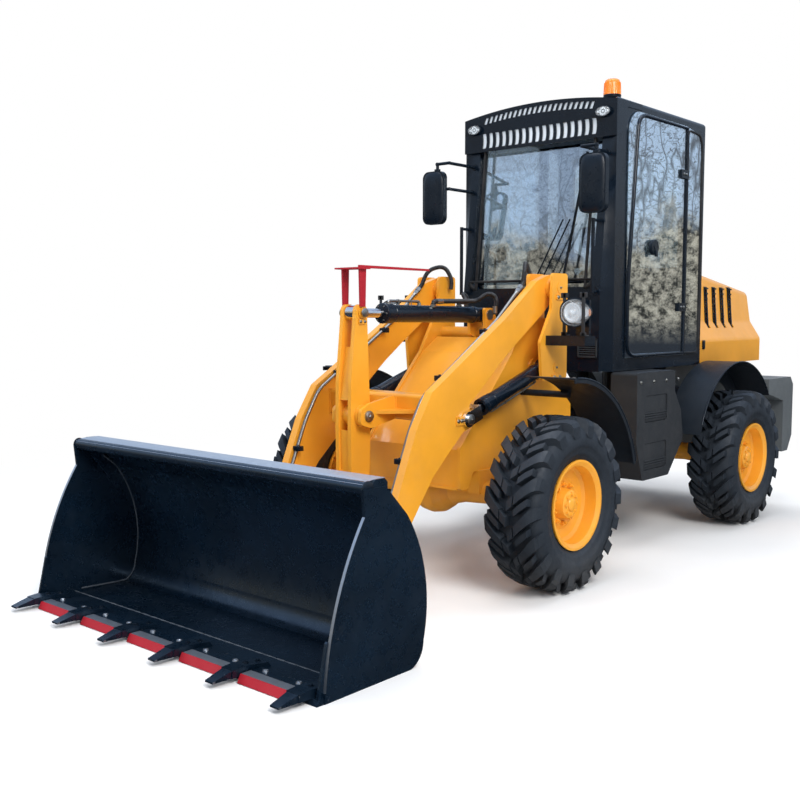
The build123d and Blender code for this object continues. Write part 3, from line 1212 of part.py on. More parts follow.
VISOR_X = CAB_NOSE_X - 90.0
VISOR_BOTTOM_Z = 2730.0
VISOR_END_Z = 2965.0
VISOR_CREST_Z = 3020.0
with BuildPart() as roof_visor:
    # Front face with an arched top edge, standing in front of the windscreen's head
    with BuildSketch(Plane.YZ.offset(VISOR_X)):
        with BuildLine():
            Polyline(
                (-CAB_HALF_WIDTH - 6, VISOR_END_Z), (-CAB_HALF_WIDTH - 6, VISOR_BOTTOM_Z), (CAB_HALF_WIDTH + 6, VISOR_BOTTOM_Z),
                (CAB_HALF_WIDTH + 6, VISOR_END_Z),
            )
            ThreePointArc((CAB_HALF_WIDTH + 6, VISOR_END_Z), (0, VISOR_CREST_Z), (-CAB_HALF_WIDTH - 6, VISOR_END_Z))
        make_face()
        with Locations((0, 2810)):
            with GridLocations(66, 1, 13, 1):
                SlotOverall(110, 34, rotation=90, mode=Mode.SUBTRACT)
        with Locations((0, 2930)):
            with GridLocations(52, 1, 17, 1):
                Rectangle(26, 44, mode=Mode.SUBTRACT)
    extrude(amount=10)
    # Cheeks that taper back along the cab side
    for side in (1, -1):
        cheek = [
            (VISOR_X + 1, VISOR_BOTTOM_Z + 6), (VISOR_X + 1, VISOR_END_Z), (CAB_SIDE_FRONT_X - 330, CAB_TOP_Z - 14),
            (CAB_SIDE_FRONT_X - 330, CAB_TOP_Z - 52), (CAB_SIDE_FRONT_X - 130, CAB_TOP_Z - 56),
        ]
        extrude(side_profile(side * (CAB_HALF_WIDTH + 3.5), cheek), amount=2.5, both=True)
write("roof_visor", roof_visor.part)

with BuildPart() as beacon:
    with BuildSketch(Plane.XY.offset(CAB_TOP_Z)):
        with Locations((PIVOT_X - 100, 420)):
            Circle(22)
    extrude(amount=65)
    with BuildSketch(Plane.XY.offset(CAB_TOP_Z + 65)):
        with Locations((PIVOT_X - 100, 420)):
            Circle(62)
    extrude(amount=110, taper=5)
write("beacon", beacon.part)

with BuildPart() as roof_lamps:
    for side in (1, -1):
        with BuildSketch(Plane.YZ.offset(VISOR_X + 10)):
            with Locations((side * (CAB_HALF_WIDTH - 90), VISOR_END_Z - 75)):
                Ellipse(62, 36)
        extrude(amount=24)
write("roof_lamps", roof_lamps.part)

# Windscreen: seated inside its opening, leaning with the pillars
with BuildPart() as windscreen:
    lean = SCREEN_LEAN * (CAB_HEAD_Z - WINDSCREEN_FOOT_Z) / (CAB_TOP_Z - 60 - WINDSCREEN_FOOT_Z)
    screen = [
        (CAB_NOSE_X - CAB_WALL - 8, WINDSCREEN_FOOT_Z - GLASS_LAP), (CAB_NOSE_X - CAB_WALL - 2, WINDSCREEN_FOOT_Z - GLASS_LAP),
        (CAB_NOSE_X - CAB_WALL - 2 - lean, CAB_HEAD_Z + GLASS_LAP), (CAB_NOSE_X - CAB_WALL - 8 - lean, CAB_HEAD_Z + GLASS_LAP),
    ]
    extrude(side_profile(0, screen), amount=SCREEN_HALF_Y + GLASS_LAP, both=True)
write("windscreen", windscreen.part)

with BuildPart() as rear_window:
    with BuildSketch(Plane.YZ.offset(CAB_REAR_X - 1)):
        with Locations((0, 2340)):
            RectangleRounded(2 * CAB_HALF_WIDTH - 190, 930, 60)
    extrude(amount=-GLASS)
write("rear_window", rear_window.part)


def side_glass(x_from, x_to, side):
    """The part of the side glazing between two stations, on the outside of the cab side."""
    outer_y = CAB_HALF_WIDTH + 5
    with BuildPart() as glass:
        extrude(side_opening(-GLASS_LAP), amount=-side * (outer_y + GLASS))
        extrude(side_opening(-GLASS_LAP - 5), amount=-side * outer_y, mode=Mode.SUBTRACT)
        with BuildSketch(Plane.XY.offset(1000)):
            with Locations(((x_from + x_to) / 2, side * outer_y)):
                Rectangle(abs(x_to - x_from), 100)
        extrude(amount=2200, mode=Mode.INTERSECT)
    return glass.part


for wheel_side, side_sign in (("left", 1), ("right", -1)):
    write(wheel_side + "_door_glass", side_glass(DOOR_REAR_X, DOOR_FRONT_X + 30, side_sign))

with BuildPart() as quarter_glass:
    for side in (1, -1):
        quarter = [
            (CAB_REAR_X + 50, CAB_SILL_Z - GLASS_LAP), (DOOR_REAR_X - 8, CAB_SILL_Z - GLASS_LAP),
            (DOOR_REAR_X - 8, DOOR_HEAD_Z + GLASS_LAP), (CAB_REAR_X + 90, DOOR_HEAD_Z - 20), (CAB_REAR_X + 50, DOOR_HEAD_Z - 120),
        ]
        extrude(side_profile(side * (CAB_HALF_WIDTH + GLASS / 2), quarter), amount=GLASS / 2, both=True)
write("quarter_glass", quarter_glass.part)


def build_door_fittings(side):
    """Two patch hinges at the door's rear edge and the round handle near its front edge."""
    face_y = side * (CAB_HALF_WIDTH + 5 + GLASS)
    with BuildPart() as fittings:
        for hinge_height in (CAB_SILL_Z + 330, DOOR_HEAD_Z - 330):
            with BuildSketch(Plane.XZ.offset(-face_y)):
                with Locations((DOOR_REAR_X + 60, hinge_height)):
                    Rectangle(110, 60)
            extrude(amount=-side * 16)
            with BuildSketch(Plane.XY.offset(hinge_height - 30)):
                with Locations((DOOR_REAR_X - 4, side * DOOR_HINGE_Y)):
                    Circle(6.5)
            extrude(amount=60)
            with BuildSketch(Plane.XZ.offset(-side * DOOR_HINGE_Y)):
                with Locations((DOOR_REAR_X + 4, hinge_height)):
                    Rectangle(16, 56)
            extrude(amount=3, both=True)
        with BuildSketch(Plane.XZ.offset(-face_y)):
            with Locations((DOOR_FRONT_X - 330, 2030)):
                Circle(42)
        extrude(amount=-side * 30)
    return fittings.part


write("left_door_fittings", build_door_fittings(1))
write("right_door_fittings", build_door_fittings(-1))

# ----------------------------------------------------------------------------------------
# Inside the cab
# ----------------------------------------------------------------------------------------
SEAT_X = PIVOT_X - 700.0
with BuildPart() as seat:
    with BuildSketch(Plane.XY.offset(CAB_FLOOR_Z + 25)):
        with Locations((SEAT_X, 0)):
            Rectangle(360, 360)
    extrude(amount=300)
    with BuildSketch(Plane.XY.offset(CAB_FLOOR_Z + 325)):
        with Locations((SEAT_X + 20, 0)):
            RectangleRounded(500, 500, 60)
    extrude(amount=120)
    back = [
        (SEAT_X - 230, CAB_FLOOR_Z + 445), (SEAT_X - 120, CAB_FLOOR_Z + 445), (SEAT_X - 190, CAB_FLOOR_Z + 1010),
        (SEAT_X - 290, CAB_FLOOR_Z + 1010),
    ]
    extrude(side_profile(0, back, corner=30), amount=230, both=True)
write("seat", seat.part)

with BuildPart() as cab_controls:
    with BuildSketch(Plane.XY.offset(CAB_FLOOR_Z + 25)):
        with Locations((CAB_NOSE_X - 200, 0)):
            Rectangle(160, 180)
    extrude(amount=60)
    column_length, column_plane = bar_axes((CAB_NOSE_X - 200, 0, CAB_FLOOR_Z + 60), (CAB_NOSE_X - 330, 0, CAB_FLOOR_Z + 760))
    with BuildSketch(Plane(origin=column_plane.origin, x_dir=(0, 1, 0), z_dir=column_plane.x_dir)):
        Rectangle(140, 110)
    extrude(amount=column_length)
    wheel_top = Plane(
        origin=column_plane.origin + column_plane.x_dir * (column_length + 10), x_dir=(0, 1, 0), z_dir=column_plane.x_dir
    )
    with BuildSketch(wheel_top):
        Circle(200)
        Circle(172, mode=Mode.SUBTRACT)
        Rectangle(380, 34)
    extrude(amount=26, both=True)
    with BuildSketch(Plane.XY.offset(CAB_FLOOR_Z + 25)):
        with Locations((SEAT_X + 60, -400)):
            Rectangle(560, 220)
    extrude(amount=620)
write("cab_controls", cab_controls.part)

# ----------------------------------------------------------------------------------------
# Mirrors and grab rails
# ----------------------------------------------------------------------------------------
def pillar_face_x(z):
    """X of the cab's front face at height z: upright below the windscreen's foot, leaning above it."""
    lean_share = max(0.0, (z - WINDSCREEN_FOOT_Z) / (CAB_TOP_Z - 60 - WINDSCREEN_FOOT_Z))
    return CAB_NOSE_X - SCREEN_LEAN * lean_share


MIRROR = (PIVOT_X + 504.0, 642.0, 2390.0)
MIRROR_FOOT_Y = CAB_NOSE_HALF_Y - 20.0
with BuildPart() as mirrors:
    for side in (1, -1):
        mirror_x, mirror_y, mirror_z = MIRROR
        with BuildSketch(Plane.YZ.offset(mirror_x - 20)):
            with Locations((side * mirror_y, mirror_z)):
                RectangleRounded(190, 370, 50)
        extrude(amount=40)
        # Arms forward from the pillar at two heights, joined by the upright the head hangs on
        for arm_z in (mirror_z + 60, mirror_z + 240):
            foot_x = pillar_face_x(arm_z)
            with BuildSketch(Plane.YZ.offset(foot_x + 5)):
                with Locations((side * MIRROR_FOOT_Y, arm_z)):
                    Circle(11)
            extrude(amount=mirror_x - 30 - foot_x)
            with BuildSketch(Plane.XZ.offset(-side * (MIRROR_FOOT_Y - 11))):
                with Locations((mirror_x - 30, arm_z)):
                    Circle(11)
            extrude(amount=-side * (mirror_y - MIRROR_FOOT_Y + 22))
        with BuildSketch(Plane.XY.offset(mirror_z + 40)):
            with Locations((mirror_x - 30, side * mirror_y)):
                Circle(11)
        extrude(amount=211)
write("mirrors", mirrors.part)

GRAB_LOW_Z = 1720.0
GRAB_HIGH_Z = 2180.0
with BuildPart() as grab_rails:
    for side in (1, -1):
        rail_x, rail_y = CAB_NOSE_X + 60, side * (CAB_NOSE_HALF_Y - 22)
        with BuildSketch(Plane.XY.offset(GRAB_LOW_Z - 12)):
            with Locations((rail_x, rail_y)):
                Circle(12)
        extrude(amount=GRAB_HIGH_Z - GRAB_LOW_Z + 24)
        for foot_z in (GRAB_LOW_Z, GRAB_HIGH_Z):
            foot_x = pillar_face_x(foot_z + 12)
            with BuildSketch(Plane.YZ.offset(foot_x + 3)):
                with Locations((rail_y, foot_z)):
                    Circle(10)
            extrude(amount=rail_x - foot_x)
write("grab_rails", grab_rails.part)

# ----------------------------------------------------------------------------------------
# Hood: a thin shell that opens about its rear lower edge, with four louvres in each side
# ----------------------------------------------------------------------------------------
def hood_section(x, height, inset):
    """Cross section of the hood at station x: flared foot, straight side, rounded shoulder."""
    half, flare = HOOD_HALF_WIDTH - inset, HOOD_FLARE - inset
    top = height - inset
    with BuildSketch(Plane.YZ.offset(x)) as section:
        with BuildLine():
            FilletPolyline(
                (-flare, HOOD_BOTTOM_Z - (1 if inset else 0)), (-flare, HOOD_BOTTOM_Z + 190), (-half, HOOD_BOTTOM_Z + 330),
                (-half + 40, top), (half - 40, top), (half, HOOD_BOTTOM_Z + 330), (flare, HOOD_BOTTOM_Z + 190),
                (flare, HOOD_BOTTOM_Z - (1 if inset else 0)),
                radius=60,
            )
            Line((-flare, HOOD_BOTTOM_Z - (1 if inset else 0)), (flare, HOOD_BOTTOM_Z - (1 if inset else 0)))
        make_face()
    return section.sketch


HOOD_FRONT_TOP = 1930.0
HOOD_REAR_TOP = 1765.0
with BuildPart() as hood:
    loft([hood_section(HOOD_FRONT_X, HOOD_FRONT_TOP, 0), hood_section(HOOD_REAR_X, HOOD_REAR_TOP, 0)])
    loft(
        [
            hood_section(HOOD_FRONT_X + 1, HOOD_FRONT_TOP, HOOD_WALL),
            hood_section(HOOD_REAR_X + 20, HOOD_REAR_TOP, HOOD_WALL),
        ],
        mode=Mode.SUBTRACT,
    )
    for side in (1, -1):
        extrude(disc_profile(side * HOOD_HINGE_Y, HOOD_HINGE_X, HOOD_BOTTOM_Z, 14), amount=60, both=True)
    for index in range(4):
        louvre_x = HOOD_FRONT_X - 330 - 150 * index
        louvre = [
            (louvre_x, 1460), (louvre_x + 50, 1460), (louvre_x + 20, 1780), (louvre_x - 20, 1780),
        ]
        extrude(side_profile(0, louvre), amount=HOOD_FLARE + 10, both=True, mode=Mode.SUBTRACT)
write("hood", hood.part)
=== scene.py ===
"""Looks of a compact articulated wheel loader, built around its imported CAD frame."""

import logging
import math
from dataclasses import dataclass
from enum import Enum
from typing import Callable, ClassVar, Iterable, Sequence

import bmesh
import bpy
from mathutils import Matrix, Vector


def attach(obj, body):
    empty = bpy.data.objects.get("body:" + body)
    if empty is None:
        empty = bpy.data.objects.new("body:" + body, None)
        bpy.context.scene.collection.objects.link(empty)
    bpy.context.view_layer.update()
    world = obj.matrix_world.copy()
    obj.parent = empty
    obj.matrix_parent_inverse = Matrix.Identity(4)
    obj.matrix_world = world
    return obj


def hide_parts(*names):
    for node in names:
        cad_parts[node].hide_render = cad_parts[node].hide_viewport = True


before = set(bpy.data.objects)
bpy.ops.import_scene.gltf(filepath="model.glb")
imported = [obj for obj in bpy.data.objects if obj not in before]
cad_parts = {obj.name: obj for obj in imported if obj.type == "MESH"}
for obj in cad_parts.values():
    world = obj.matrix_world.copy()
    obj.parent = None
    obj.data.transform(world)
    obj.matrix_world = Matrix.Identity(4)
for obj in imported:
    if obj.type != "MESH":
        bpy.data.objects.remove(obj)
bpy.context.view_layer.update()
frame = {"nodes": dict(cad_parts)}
LOG = logging.getLogger("loader")

Point = tuple[float, float, float]
Pair = tuple[float, float]
Colour = tuple[float, float, float]
Socket = bpy.types.NodeSocket
WHITE = (1.0, 1.0, 1.0)
EDGE_DEGREES = 38.0
GUARD_RADIUS = 0.7125
AXLE_Z = 0.5


class Side(Enum):
    """The two sides of the machine, by the sign of Y."""

    LEFT = 1
    RIGHT = -1

    @property
    def word(self) -> str:
        """Returns: the side's name as the CAD nodes spell it."""
        return self.name.lower()


class Axis(Enum):
    """The row axes as unit vectors."""

    X = (1.0, 0.0, 0.0)
    Y = (0.0, 1.0, 0.0)
    Z = (0.0, 0.0, 1.0)

    @property
    def vector(self) -> Vector:
        """Returns: the axis as a vector."""
        return Vector(self.value)


SIGNS = (1, -1)
UP = Axis.Z.vector


# ---------------------------------------------------------------------------------------
# Shader trees
# ---------------------------------------------------------------------------------------
class NodeSketch:
    """Adds and links the nodes of one tree."""

    def __init__(self, tree: bpy.types.NodeTree) -> None:
        """Args: tree: the node tree to draw in."""
        self.tree = tree

    def add(self, kind: str, inputs: dict | None = None, **settings: object) -> bpy.types.Node:
        """Args: kind: a node's type; inputs: socket values or links; settings: its fields. Returns: the
        node."""
        node = self.tree.nodes.new(kind)
        for name, value in settings.items():
            setattr(node, name, value)
        for key, value in (inputs or {}).items():
            self.feed(node.inputs[key], value)
        return node

    def feed(self, end: Socket, value: object) -> None:
        """Links or sets an input. Args: end: the input; value: a socket or a plain value."""
        if isinstance(value, Socket):
            self.tree.links.new(value, end)
        else:
            end.default_value = value

    def out(self, kind: str, inputs: dict | None = None, **settings: object) -> Socket:
        """Args: kind, inputs, settings: as for add. Returns: the new node's first output."""
        return self.add(kind, inputs, **settings).outputs[0]

    def place(self) -> Socket:
        """Returns: the object coordinates' socket."""
        return self.add("ShaderNodeTexCoord").outputs["Object"]

    def axis(self, index: int) -> Socket:
        """Args: index: 0, 1 or 2. Returns: that object coordinate."""
        return self.add("ShaderNodeSeparateXYZ", {0: self.place()}).outputs[index]

    def noise(
        self, scale: float, detail: float = 3.0, rough: float = 0.55, at: Socket | None = None
    ) -> Socket:
        """Args: scale: cells per metre; detail: octaves; rough: their fall; at: other coordinates.
        Returns: noise."""
        where = self.place() if at is None else at
        inputs = {"Vector": where, "Scale": scale, "Detail": detail, "Roughness": rough}
        return self.add("ShaderNodeTexNoise", inputs).outputs["Fac"]

    def wave(self, scale: float, direction: str = "X", distortion: float = 0.0) -> Socket:
        """Args: scale: bands' density; direction: across which axis; distortion: its waver.
        Returns: bands."""
        inputs = {"Vector": self.place(), "Scale": scale, "Distortion": distortion}
        return self.add("ShaderNodeTexWave", inputs, bands_direction=direction).outputs["Fac"]

    def spread(self, value: Socket, low: float, high: float, to_low: float, to_high: float) -> Socket:
        """Maps a range. Args: value: what is mapped; low, high: from; to_low, to_high: to. Returns: the
        result."""
        inputs = {"Value": value, "From Min": low, "From Max": high, "To Min": to_low, "To Max": to_high}
        return self.out("ShaderNodeMapRange", inputs)

    def mix(self, factor: Socket | float, a: object, b: object) -> Socket:
        """Mixes two colours. Args: factor: how much of b; a, b: colours or sockets. Returns: the colour."""
        node = self.add("ShaderNodeMix", data_type="RGBA")
        for index, value in ((0, factor), (6, a), (7, b)):
            self.feed(node.inputs[index], value)
        return node.outputs[2]

    def tint(self, value: Socket, colour: Colour) -> Socket:
        """Args: value: the brightness; colour: what is scaled by it. Returns: the colour."""
        return self.out("ShaderNodeHueSaturation", {"Value": value, "Color": rgba(colour)})

    def maths(self, word: str, a: object, b: object = 0.0) -> Socket:
        """Args: word: the operation; a, b: numbers or sockets. Returns: the result."""
        return self.out("ShaderNodeMath", {0: a, 1: b}, operation=word)

    def bump(self, height: Socket, depth: float, strength: float = 1.0) -> Socket:
        """Args: height: 0 to 1; depth: metres; strength: its share. Returns: the normal."""
        return self.out("ShaderNodeBump", {"Height": height, "Distance": depth, "Strength": strength})

    def blend(self, share: Socket | float, a: Socket, b: Socket) -> Socket:
        """Args: share: how much of b; a, b: shaders. Returns: their mix."""
        return self.out("ShaderNodeMixShader", {0: share, 1: a, 2: b})

    def principled(self, colour: object, rough: object, normal: Socket, more: dict | None = None) -> Socket:
        """Args: colour, rough, normal: the surface's; more: other inputs by name. Returns: the shader."""
        inputs = {"Base Color": colour, "Roughness": rough, "Normal": normal, **(more or {})}
        return self.out("ShaderNodeBsdfPrincipled", inputs)


def rgba(colour: Sequence[float], scale: float = 1.0, lift: float = 0.0) -> tuple[float, float, float, float]:
    """Args: colour: linear red, green, blue; scale, lift: change each. Returns: the result with full
    alpha."""
    return (*(scale * c + lift for c in colour), 1.0)


@dataclass(frozen=True)
class Finish:
    """A surface finish: one procedural material, made once, and a slot name."""

    name: str
    colour: Colour
    slot: str = "dark"
    made: ClassVar[dict[str, bpy.types.Material]] = {}

    def draw(self, nodes: NodeSketch) -> Socket:
        """Args: nodes: the tree. Returns: the surface shader's socket."""
        raise NotImplementedError

    @property
    def material(self) -> bpy.types.Material:
        """Returns: the material, built at first use."""
        if self.name not in self.made:
            fresh = self.made[self.name] = bpy.data.materials.new(self.name)
            fresh.use_nodes = True
            fresh.node_tree.nodes.clear()
            nodes = NodeSketch(fresh.node_tree)
            nodes.add("ShaderNodeOutputMaterial", {"Surface": self.draw(nodes)})
        return self.made[self.name]


@dataclass(frozen=True)
class Paint(Finish):
    """Sprayed paint: slight mottling, orange peel, and dust that thins upward."""

    roughness: float = 0.32
    coat: float = 0.4
    peel: float = 0.00022
    dust: float = 0.25
    dust_top: float = 1.0
    dust_colour: Colour = (0.30, 0.27, 0.23)
    gloss: float = 0.5

    def draw(self, nodes: NodeSketch) -> Socket:
        """Args: nodes: the tree. Returns: the surface shader's socket."""
        tint = nodes.tint(nodes.spread(nodes.noise(2.6, 5.0), 0.35, 0.65, 0.92, 1.06), self.colour)
        low = nodes.spread(nodes.axis(2), 0.0, self.dust_top, self.dust, 0.02)
        patch = nodes.maths("MULTIPLY", nodes.spread(nodes.noise(9.0, 8.0, 0.7), 0.42, 0.72, 0.0, 1.0), low)
        varied = nodes.spread(nodes.noise(14.0), 0.3, 0.7, self.roughness - 0.05, self.roughness + 0.07)
        rough = nodes.maths("ADD", nodes.maths("MULTIPLY", patch, 0.5), varied)
        colour = nodes.mix(patch, tint, rgba(self.dust_colour))
        normal = nodes.bump(nodes.noise(260.0, 2.0), self.peel)
        more = {"Specular IOR Level": self.gloss, "Coat Weight": self.coat, "Coat Roughness": 0.08}
        return nodes.principled(colour, rough, normal, more)


@dataclass(frozen=True)
class Metal(Finish):
    """Bare metal: plated, brushed or polished, with fine scratches."""

    slot: str = "steel"
    roughness: float = 0.25
    scratch: float = 0.00004
    stretch: Point = (1.0, 1.0, 12.0)

    def draw(self, nodes: NodeSketch) -> Socket:
        """Args: nodes: the tree. Returns: the surface shader's socket."""
        run = nodes.out("ShaderNodeMapping", {"Vector": nodes.place(), "Scale": self.stretch})
        grain = nodes.noise(180.0, 4.0, 0.5, run)
        stain = nodes.spread(nodes.noise(30.0), 0.3, 0.7, 0.0, 0.35)
        colour = nodes.mix(stain, rgba(self.colour), rgba(self.colour, 0.72))
        rough = nodes.spread(grain, 0.3, 0.7, self.roughness * 0.8, self.roughness * 1.35)
        return nodes.principled(colour, rough, nodes.bump(grain, self.scratch), {"Metallic": 1.0})


@dataclass(frozen=True)
class Moulded(Finish):
    """Moulded plastic or rubber with a fine grain."""

    slot: str = "plastic"
    roughness: float = 0.5
    grain_scale: float = 700.0
    grain: float = 0.00012
    dust: float = 0.12
    dust_colour: Colour = (0.24, 0.22, 0.20)

    def draw(self, nodes: NodeSketch) -> Socket:
        """Args: nodes: the tree. Returns: the surface shader's socket."""
        cells = nodes.out("ShaderNodeTexVoronoi", {"Vector": nodes.place(), "Scale": self.grain_scale})
        patch = nodes.spread(nodes.noise(7.0, 7.0, 0.65), 0.45, 0.75, 0.0, self.dust)
        colour = nodes.mix(patch, rgba(self.colour), rgba(self.dust_colour))
        rough = nodes.spread(nodes.noise(22.0), 0.3, 0.7, self.roughness - 0.06, self.roughness + 0.08)
        return nodes.principled(colour, rough, nodes.bump(cells, self.grain), {"Specular IOR Level": 0.28})


@dataclass(frozen=True)
class Tread(Finish):
    """Tyre rubber: dull, a little grey on the wear faces, pale dust low down."""

    dust_colour: Colour = (0.16, 0.145, 0.125)

    def draw(self, nodes: NodeSketch) -> Socket:
        """Args: nodes: the tree. Returns: the surface shader's socket."""
        blot = nodes.spread(nodes.noise(11.0, 8.0, 0.7), 0.4, 0.7, 0.0, 0.22)
        colour = nodes.mix(blot, rgba(self.colour), rgba(self.colour, 2.0, 0.012))
        low = nodes.maths("MULTIPLY", nodes.spread(nodes.axis(2), 0.0, 0.3, 0.5, 0.0), nodes.noise(24.0, 6.0))
        dusty = nodes.mix(low, colour, rgba(self.dust_colour))
        rough = nodes.spread(nodes.noise(30.0), 0.3, 0.7, 0.55, 0.78)
        return nodes.principled(dusty, rough, nodes.bump(nodes.noise(420.0, 3.0), 0.0004, 0.6))


@dataclass(frozen=True)
class Braid(Finish):
    """Hose rubber with a wrapped weave."""

    pitch: float = 330.0
    faded: Colour = (0.06, 0.06, 0.065)

    def draw(self, nodes: NodeSketch) -> Socket:
        """Args: nodes: the tree. Returns: the surface shader's socket."""
        blot = nodes.spread(nodes.noise(40.0), 0.4, 0.7, 0.0, 0.4)
        colour = nodes.mix(blot, rgba(self.colour), rgba(self.faded))
        return nodes.principled(colour, 0.42, nodes.bump(nodes.wave(self.pitch, distortion=0.6), 0.0002))


@dataclass(frozen=True)
class Pane(Finish):
    """Tinted sheet glass: clear head on, mirror-like at a slant, with faint streaks."""

    slot: str = "glass"
    shine: float = 0.06
    edge: float = 0.55
    sheen: Colour = (0.86, 0.93, 1.0)

    def draw(self, nodes: NodeSketch) -> Socket:
        """Args: nodes: the tree. Returns: the surface shader's socket."""
        slant = nodes.add("ShaderNodeLayerWeight", {"Blend": 0.35}).outputs["Facing"]
        streak = nodes.spread(nodes.noise(3.0, 2.0, 0.5), 0.4, 0.75, 0.0, 0.015)
        share = nodes.maths("ADD", nodes.spread(slant, 0.1, 1.0, self.shine, self.edge), streak)
        through = nodes.out("ShaderNodeBsdfTransparent", {"Color": rgba(self.colour)})
        mirror = nodes.out("ShaderNodeBsdfGlossy", {"Color": rgba(self.sheen), "Roughness": 0.005})
        return nodes.blend(share, through, mirror)


@dataclass(frozen=True)
class Lens(Finish):
    """A moulded lamp lens, ribbed inside, in any colour."""

    ribs: float = 90.0
    glow: float = 0.0
    clear: float = 0.6

    def draw(self, nodes: NodeSketch) -> Socket:
        """Args: nodes: the tree. Returns: the surface shader's socket."""
        blot = nodes.spread(nodes.noise(16.0), 0.3, 0.7, 0.0, 0.25)
        solid = nodes.principled(
            nodes.mix(blot, rgba(self.colour), rgba(self.colour, 0.6)), 0.08,
            nodes.bump(nodes.wave(self.ribs, "Y"), 0.0012),
            {"Coat Weight": 0.6, "Emission Color": rgba(self.colour), "Emission Strength": self.glow},
        )
        pale = tuple(min(1.0, 0.45 + 0.55 * c) for c in self.colour)
        return nodes.blend(self.clear, solid, nodes.out("ShaderNodeBsdfTransparent", {"Color": rgba(pale)}))


@dataclass(frozen=True)
class Cloth(Finish):
    """Woven seat cloth or grained leatherette."""

    slot: str = "cushion"
    weave: float = 420.0

    def draw(self, nodes: NodeSketch) -> Socket:
        """Args: nodes: the tree. Returns: the surface shader's socket."""
        cross = nodes.maths("MULTIPLY", nodes.wave(self.weave), nodes.wave(self.weave, "Y"))
        lit = rgba(self.colour, 2.2, 0.01)
        colour = nodes.mix(nodes.maths("MULTIPLY", cross, 0.5), rgba(self.colour), lit)
        return nodes.principled(colour, 0.85, nodes.bump(cross, 0.0005), {"Sheen Weight": 0.3})


@dataclass(frozen=True)
class WornPaint(Finish):
    """Black paint rubbed to bright steel where the load passes: low front edges and the floor."""

    steel: Colour = (0.42, 0.44, 0.48)
    edge_x: float = 2.62
    dust_colour: Colour = (0.05, 0.065, 0.085)
    sheen: Colour = (0.62, 0.80, 1.0)

    def draw(self, nodes: NodeSketch) -> Socket:
        """Args: nodes: the tree. Returns: the surface shader's socket."""
        base = nodes.tint(nodes.spread(nodes.noise(3.2, 6.0), 0.35, 0.7, 0.8, 1.35), self.colour)
        ahead = nodes.spread(nodes.axis(0), self.edge_x - 0.1, self.edge_x + 0.35, 0.0, 0.5)
        rub = nodes.maths("MULTIPLY", nodes.spread(nodes.noise(38.0, 9.0, 0.75), 0.62, 0.70, 0.0, 1.0), ahead)
        low = nodes.spread(nodes.axis(2), 0.0, 0.5, 1.0, 0.2)
        dust = nodes.maths("MULTIPLY", nodes.spread(nodes.noise(6.0, 8.0, 0.7), 0.52, 0.78, 0.0, 0.10), low)
        colour = nodes.mix(dust, nodes.mix(rub, base, rgba(self.steel)), rgba(self.dust_colour))
        varied = nodes.spread(nodes.noise(17.0, 5.0), 0.3, 0.7, 0.20, 0.38)
        rough = nodes.maths("ADD", nodes.maths("MULTIPLY", dust, 1.2), varied)
        return nodes.principled(
            colour, rough, nodes.bump(nodes.noise(60.0, 3.0), 0.00025),
            {"Metallic": nodes.maths("MULTIPLY", rub, 0.9), "Specular IOR Level": 0.95,
             "Specular Tint": rgba(self.sheen)},
        )


@dataclass(frozen=True)
class FloorFade(Finish):
    """Pale floor that fades to plain white away from the machine."""

    near: float = 3.2
    far: float = 6.0

    def draw(self, nodes: NodeSketch) -> Socket:
        """Args: nodes: the tree. Returns: the surface shader's socket."""
        length = nodes.add("ShaderNodeVectorMath", {0: nodes.place()}, operation="LENGTH").outputs["Value"]
        speck = nodes.spread(nodes.noise(3.0), 0.3, 0.7, 0.90, 0.92)
        pale = nodes.out("ShaderNodeCombineColor", {0: speck, 1: speck, 2: speck})
        white = nodes.out("ShaderNodeEmission", {"Color": rgba(self.colour), "Strength": 1.0})
        seen = nodes.add("ShaderNodeLightPath").outputs["Is Camera Ray"]
        share = nodes.maths("MULTIPLY", nodes.spread(length, self.near, self.far, 0.0, 1.0), seen)
        return nodes.blend(share, nodes.out("ShaderNodeBsdfDiffuse", {"Color": pale}), white)


YELLOW = Paint("paint_yellow", (0.87, 0.375, 0.026), "yellow", roughness=0.34, coat=0.30, dust=0.14)
BLACK = Paint(
    "paint_black", (0.0030, 0.0075, 0.0150), roughness=0.22, coat=0.12, gloss=0.32, dust=0.03,
    dust_colour=(0.06, 0.065, 0.075),
)
CHASSIS = Paint(
    "paint_chassis", (0.0045, 0.0085, 0.0150), roughness=0.42, coat=0.1, gloss=0.35, dust=0.14, dust_top=1.3,
    dust_colour=(0.09, 0.085, 0.08),
)
ANTHRACITE = Paint(
    "paint_anthracite", (0.105, 0.118, 0.125), roughness=0.45, coat=0.15, peel=0.0006, dust=0.12
)
RED = Paint(
    "paint_red", (0.40, 0.014, 0.026), "red", roughness=0.45, coat=0.0, gloss=0.25, dust=0.03, dust_top=3.0
)
BUCKET = WornPaint("paint_bucket", (0.0022, 0.0075, 0.0160))
SEAM = Paint("weld_seam", (0.075, 0.090, 0.110), roughness=0.5, coat=0.0, dust=0.1)
# Pale sheet behind the visor's slots: a painted reflection, standing in for the sky mirrored in the
# windscreen behind them.
VISOR_REFLECTION_PLATE = Paint("visor_lining", (0.80, 0.86, 0.92), "steel", roughness=0.45, coat=0.0, dust=0.05, dust_top=0.5)
CHROME = Metal("chrome_rod", (0.80, 0.80, 0.82), roughness=0.10)
ZINC = Metal("zinc_plate", (0.40, 0.40, 0.38), roughness=0.34)
PIPE = Metal("steel_pipe", (0.30, 0.29, 0.27), roughness=0.36)
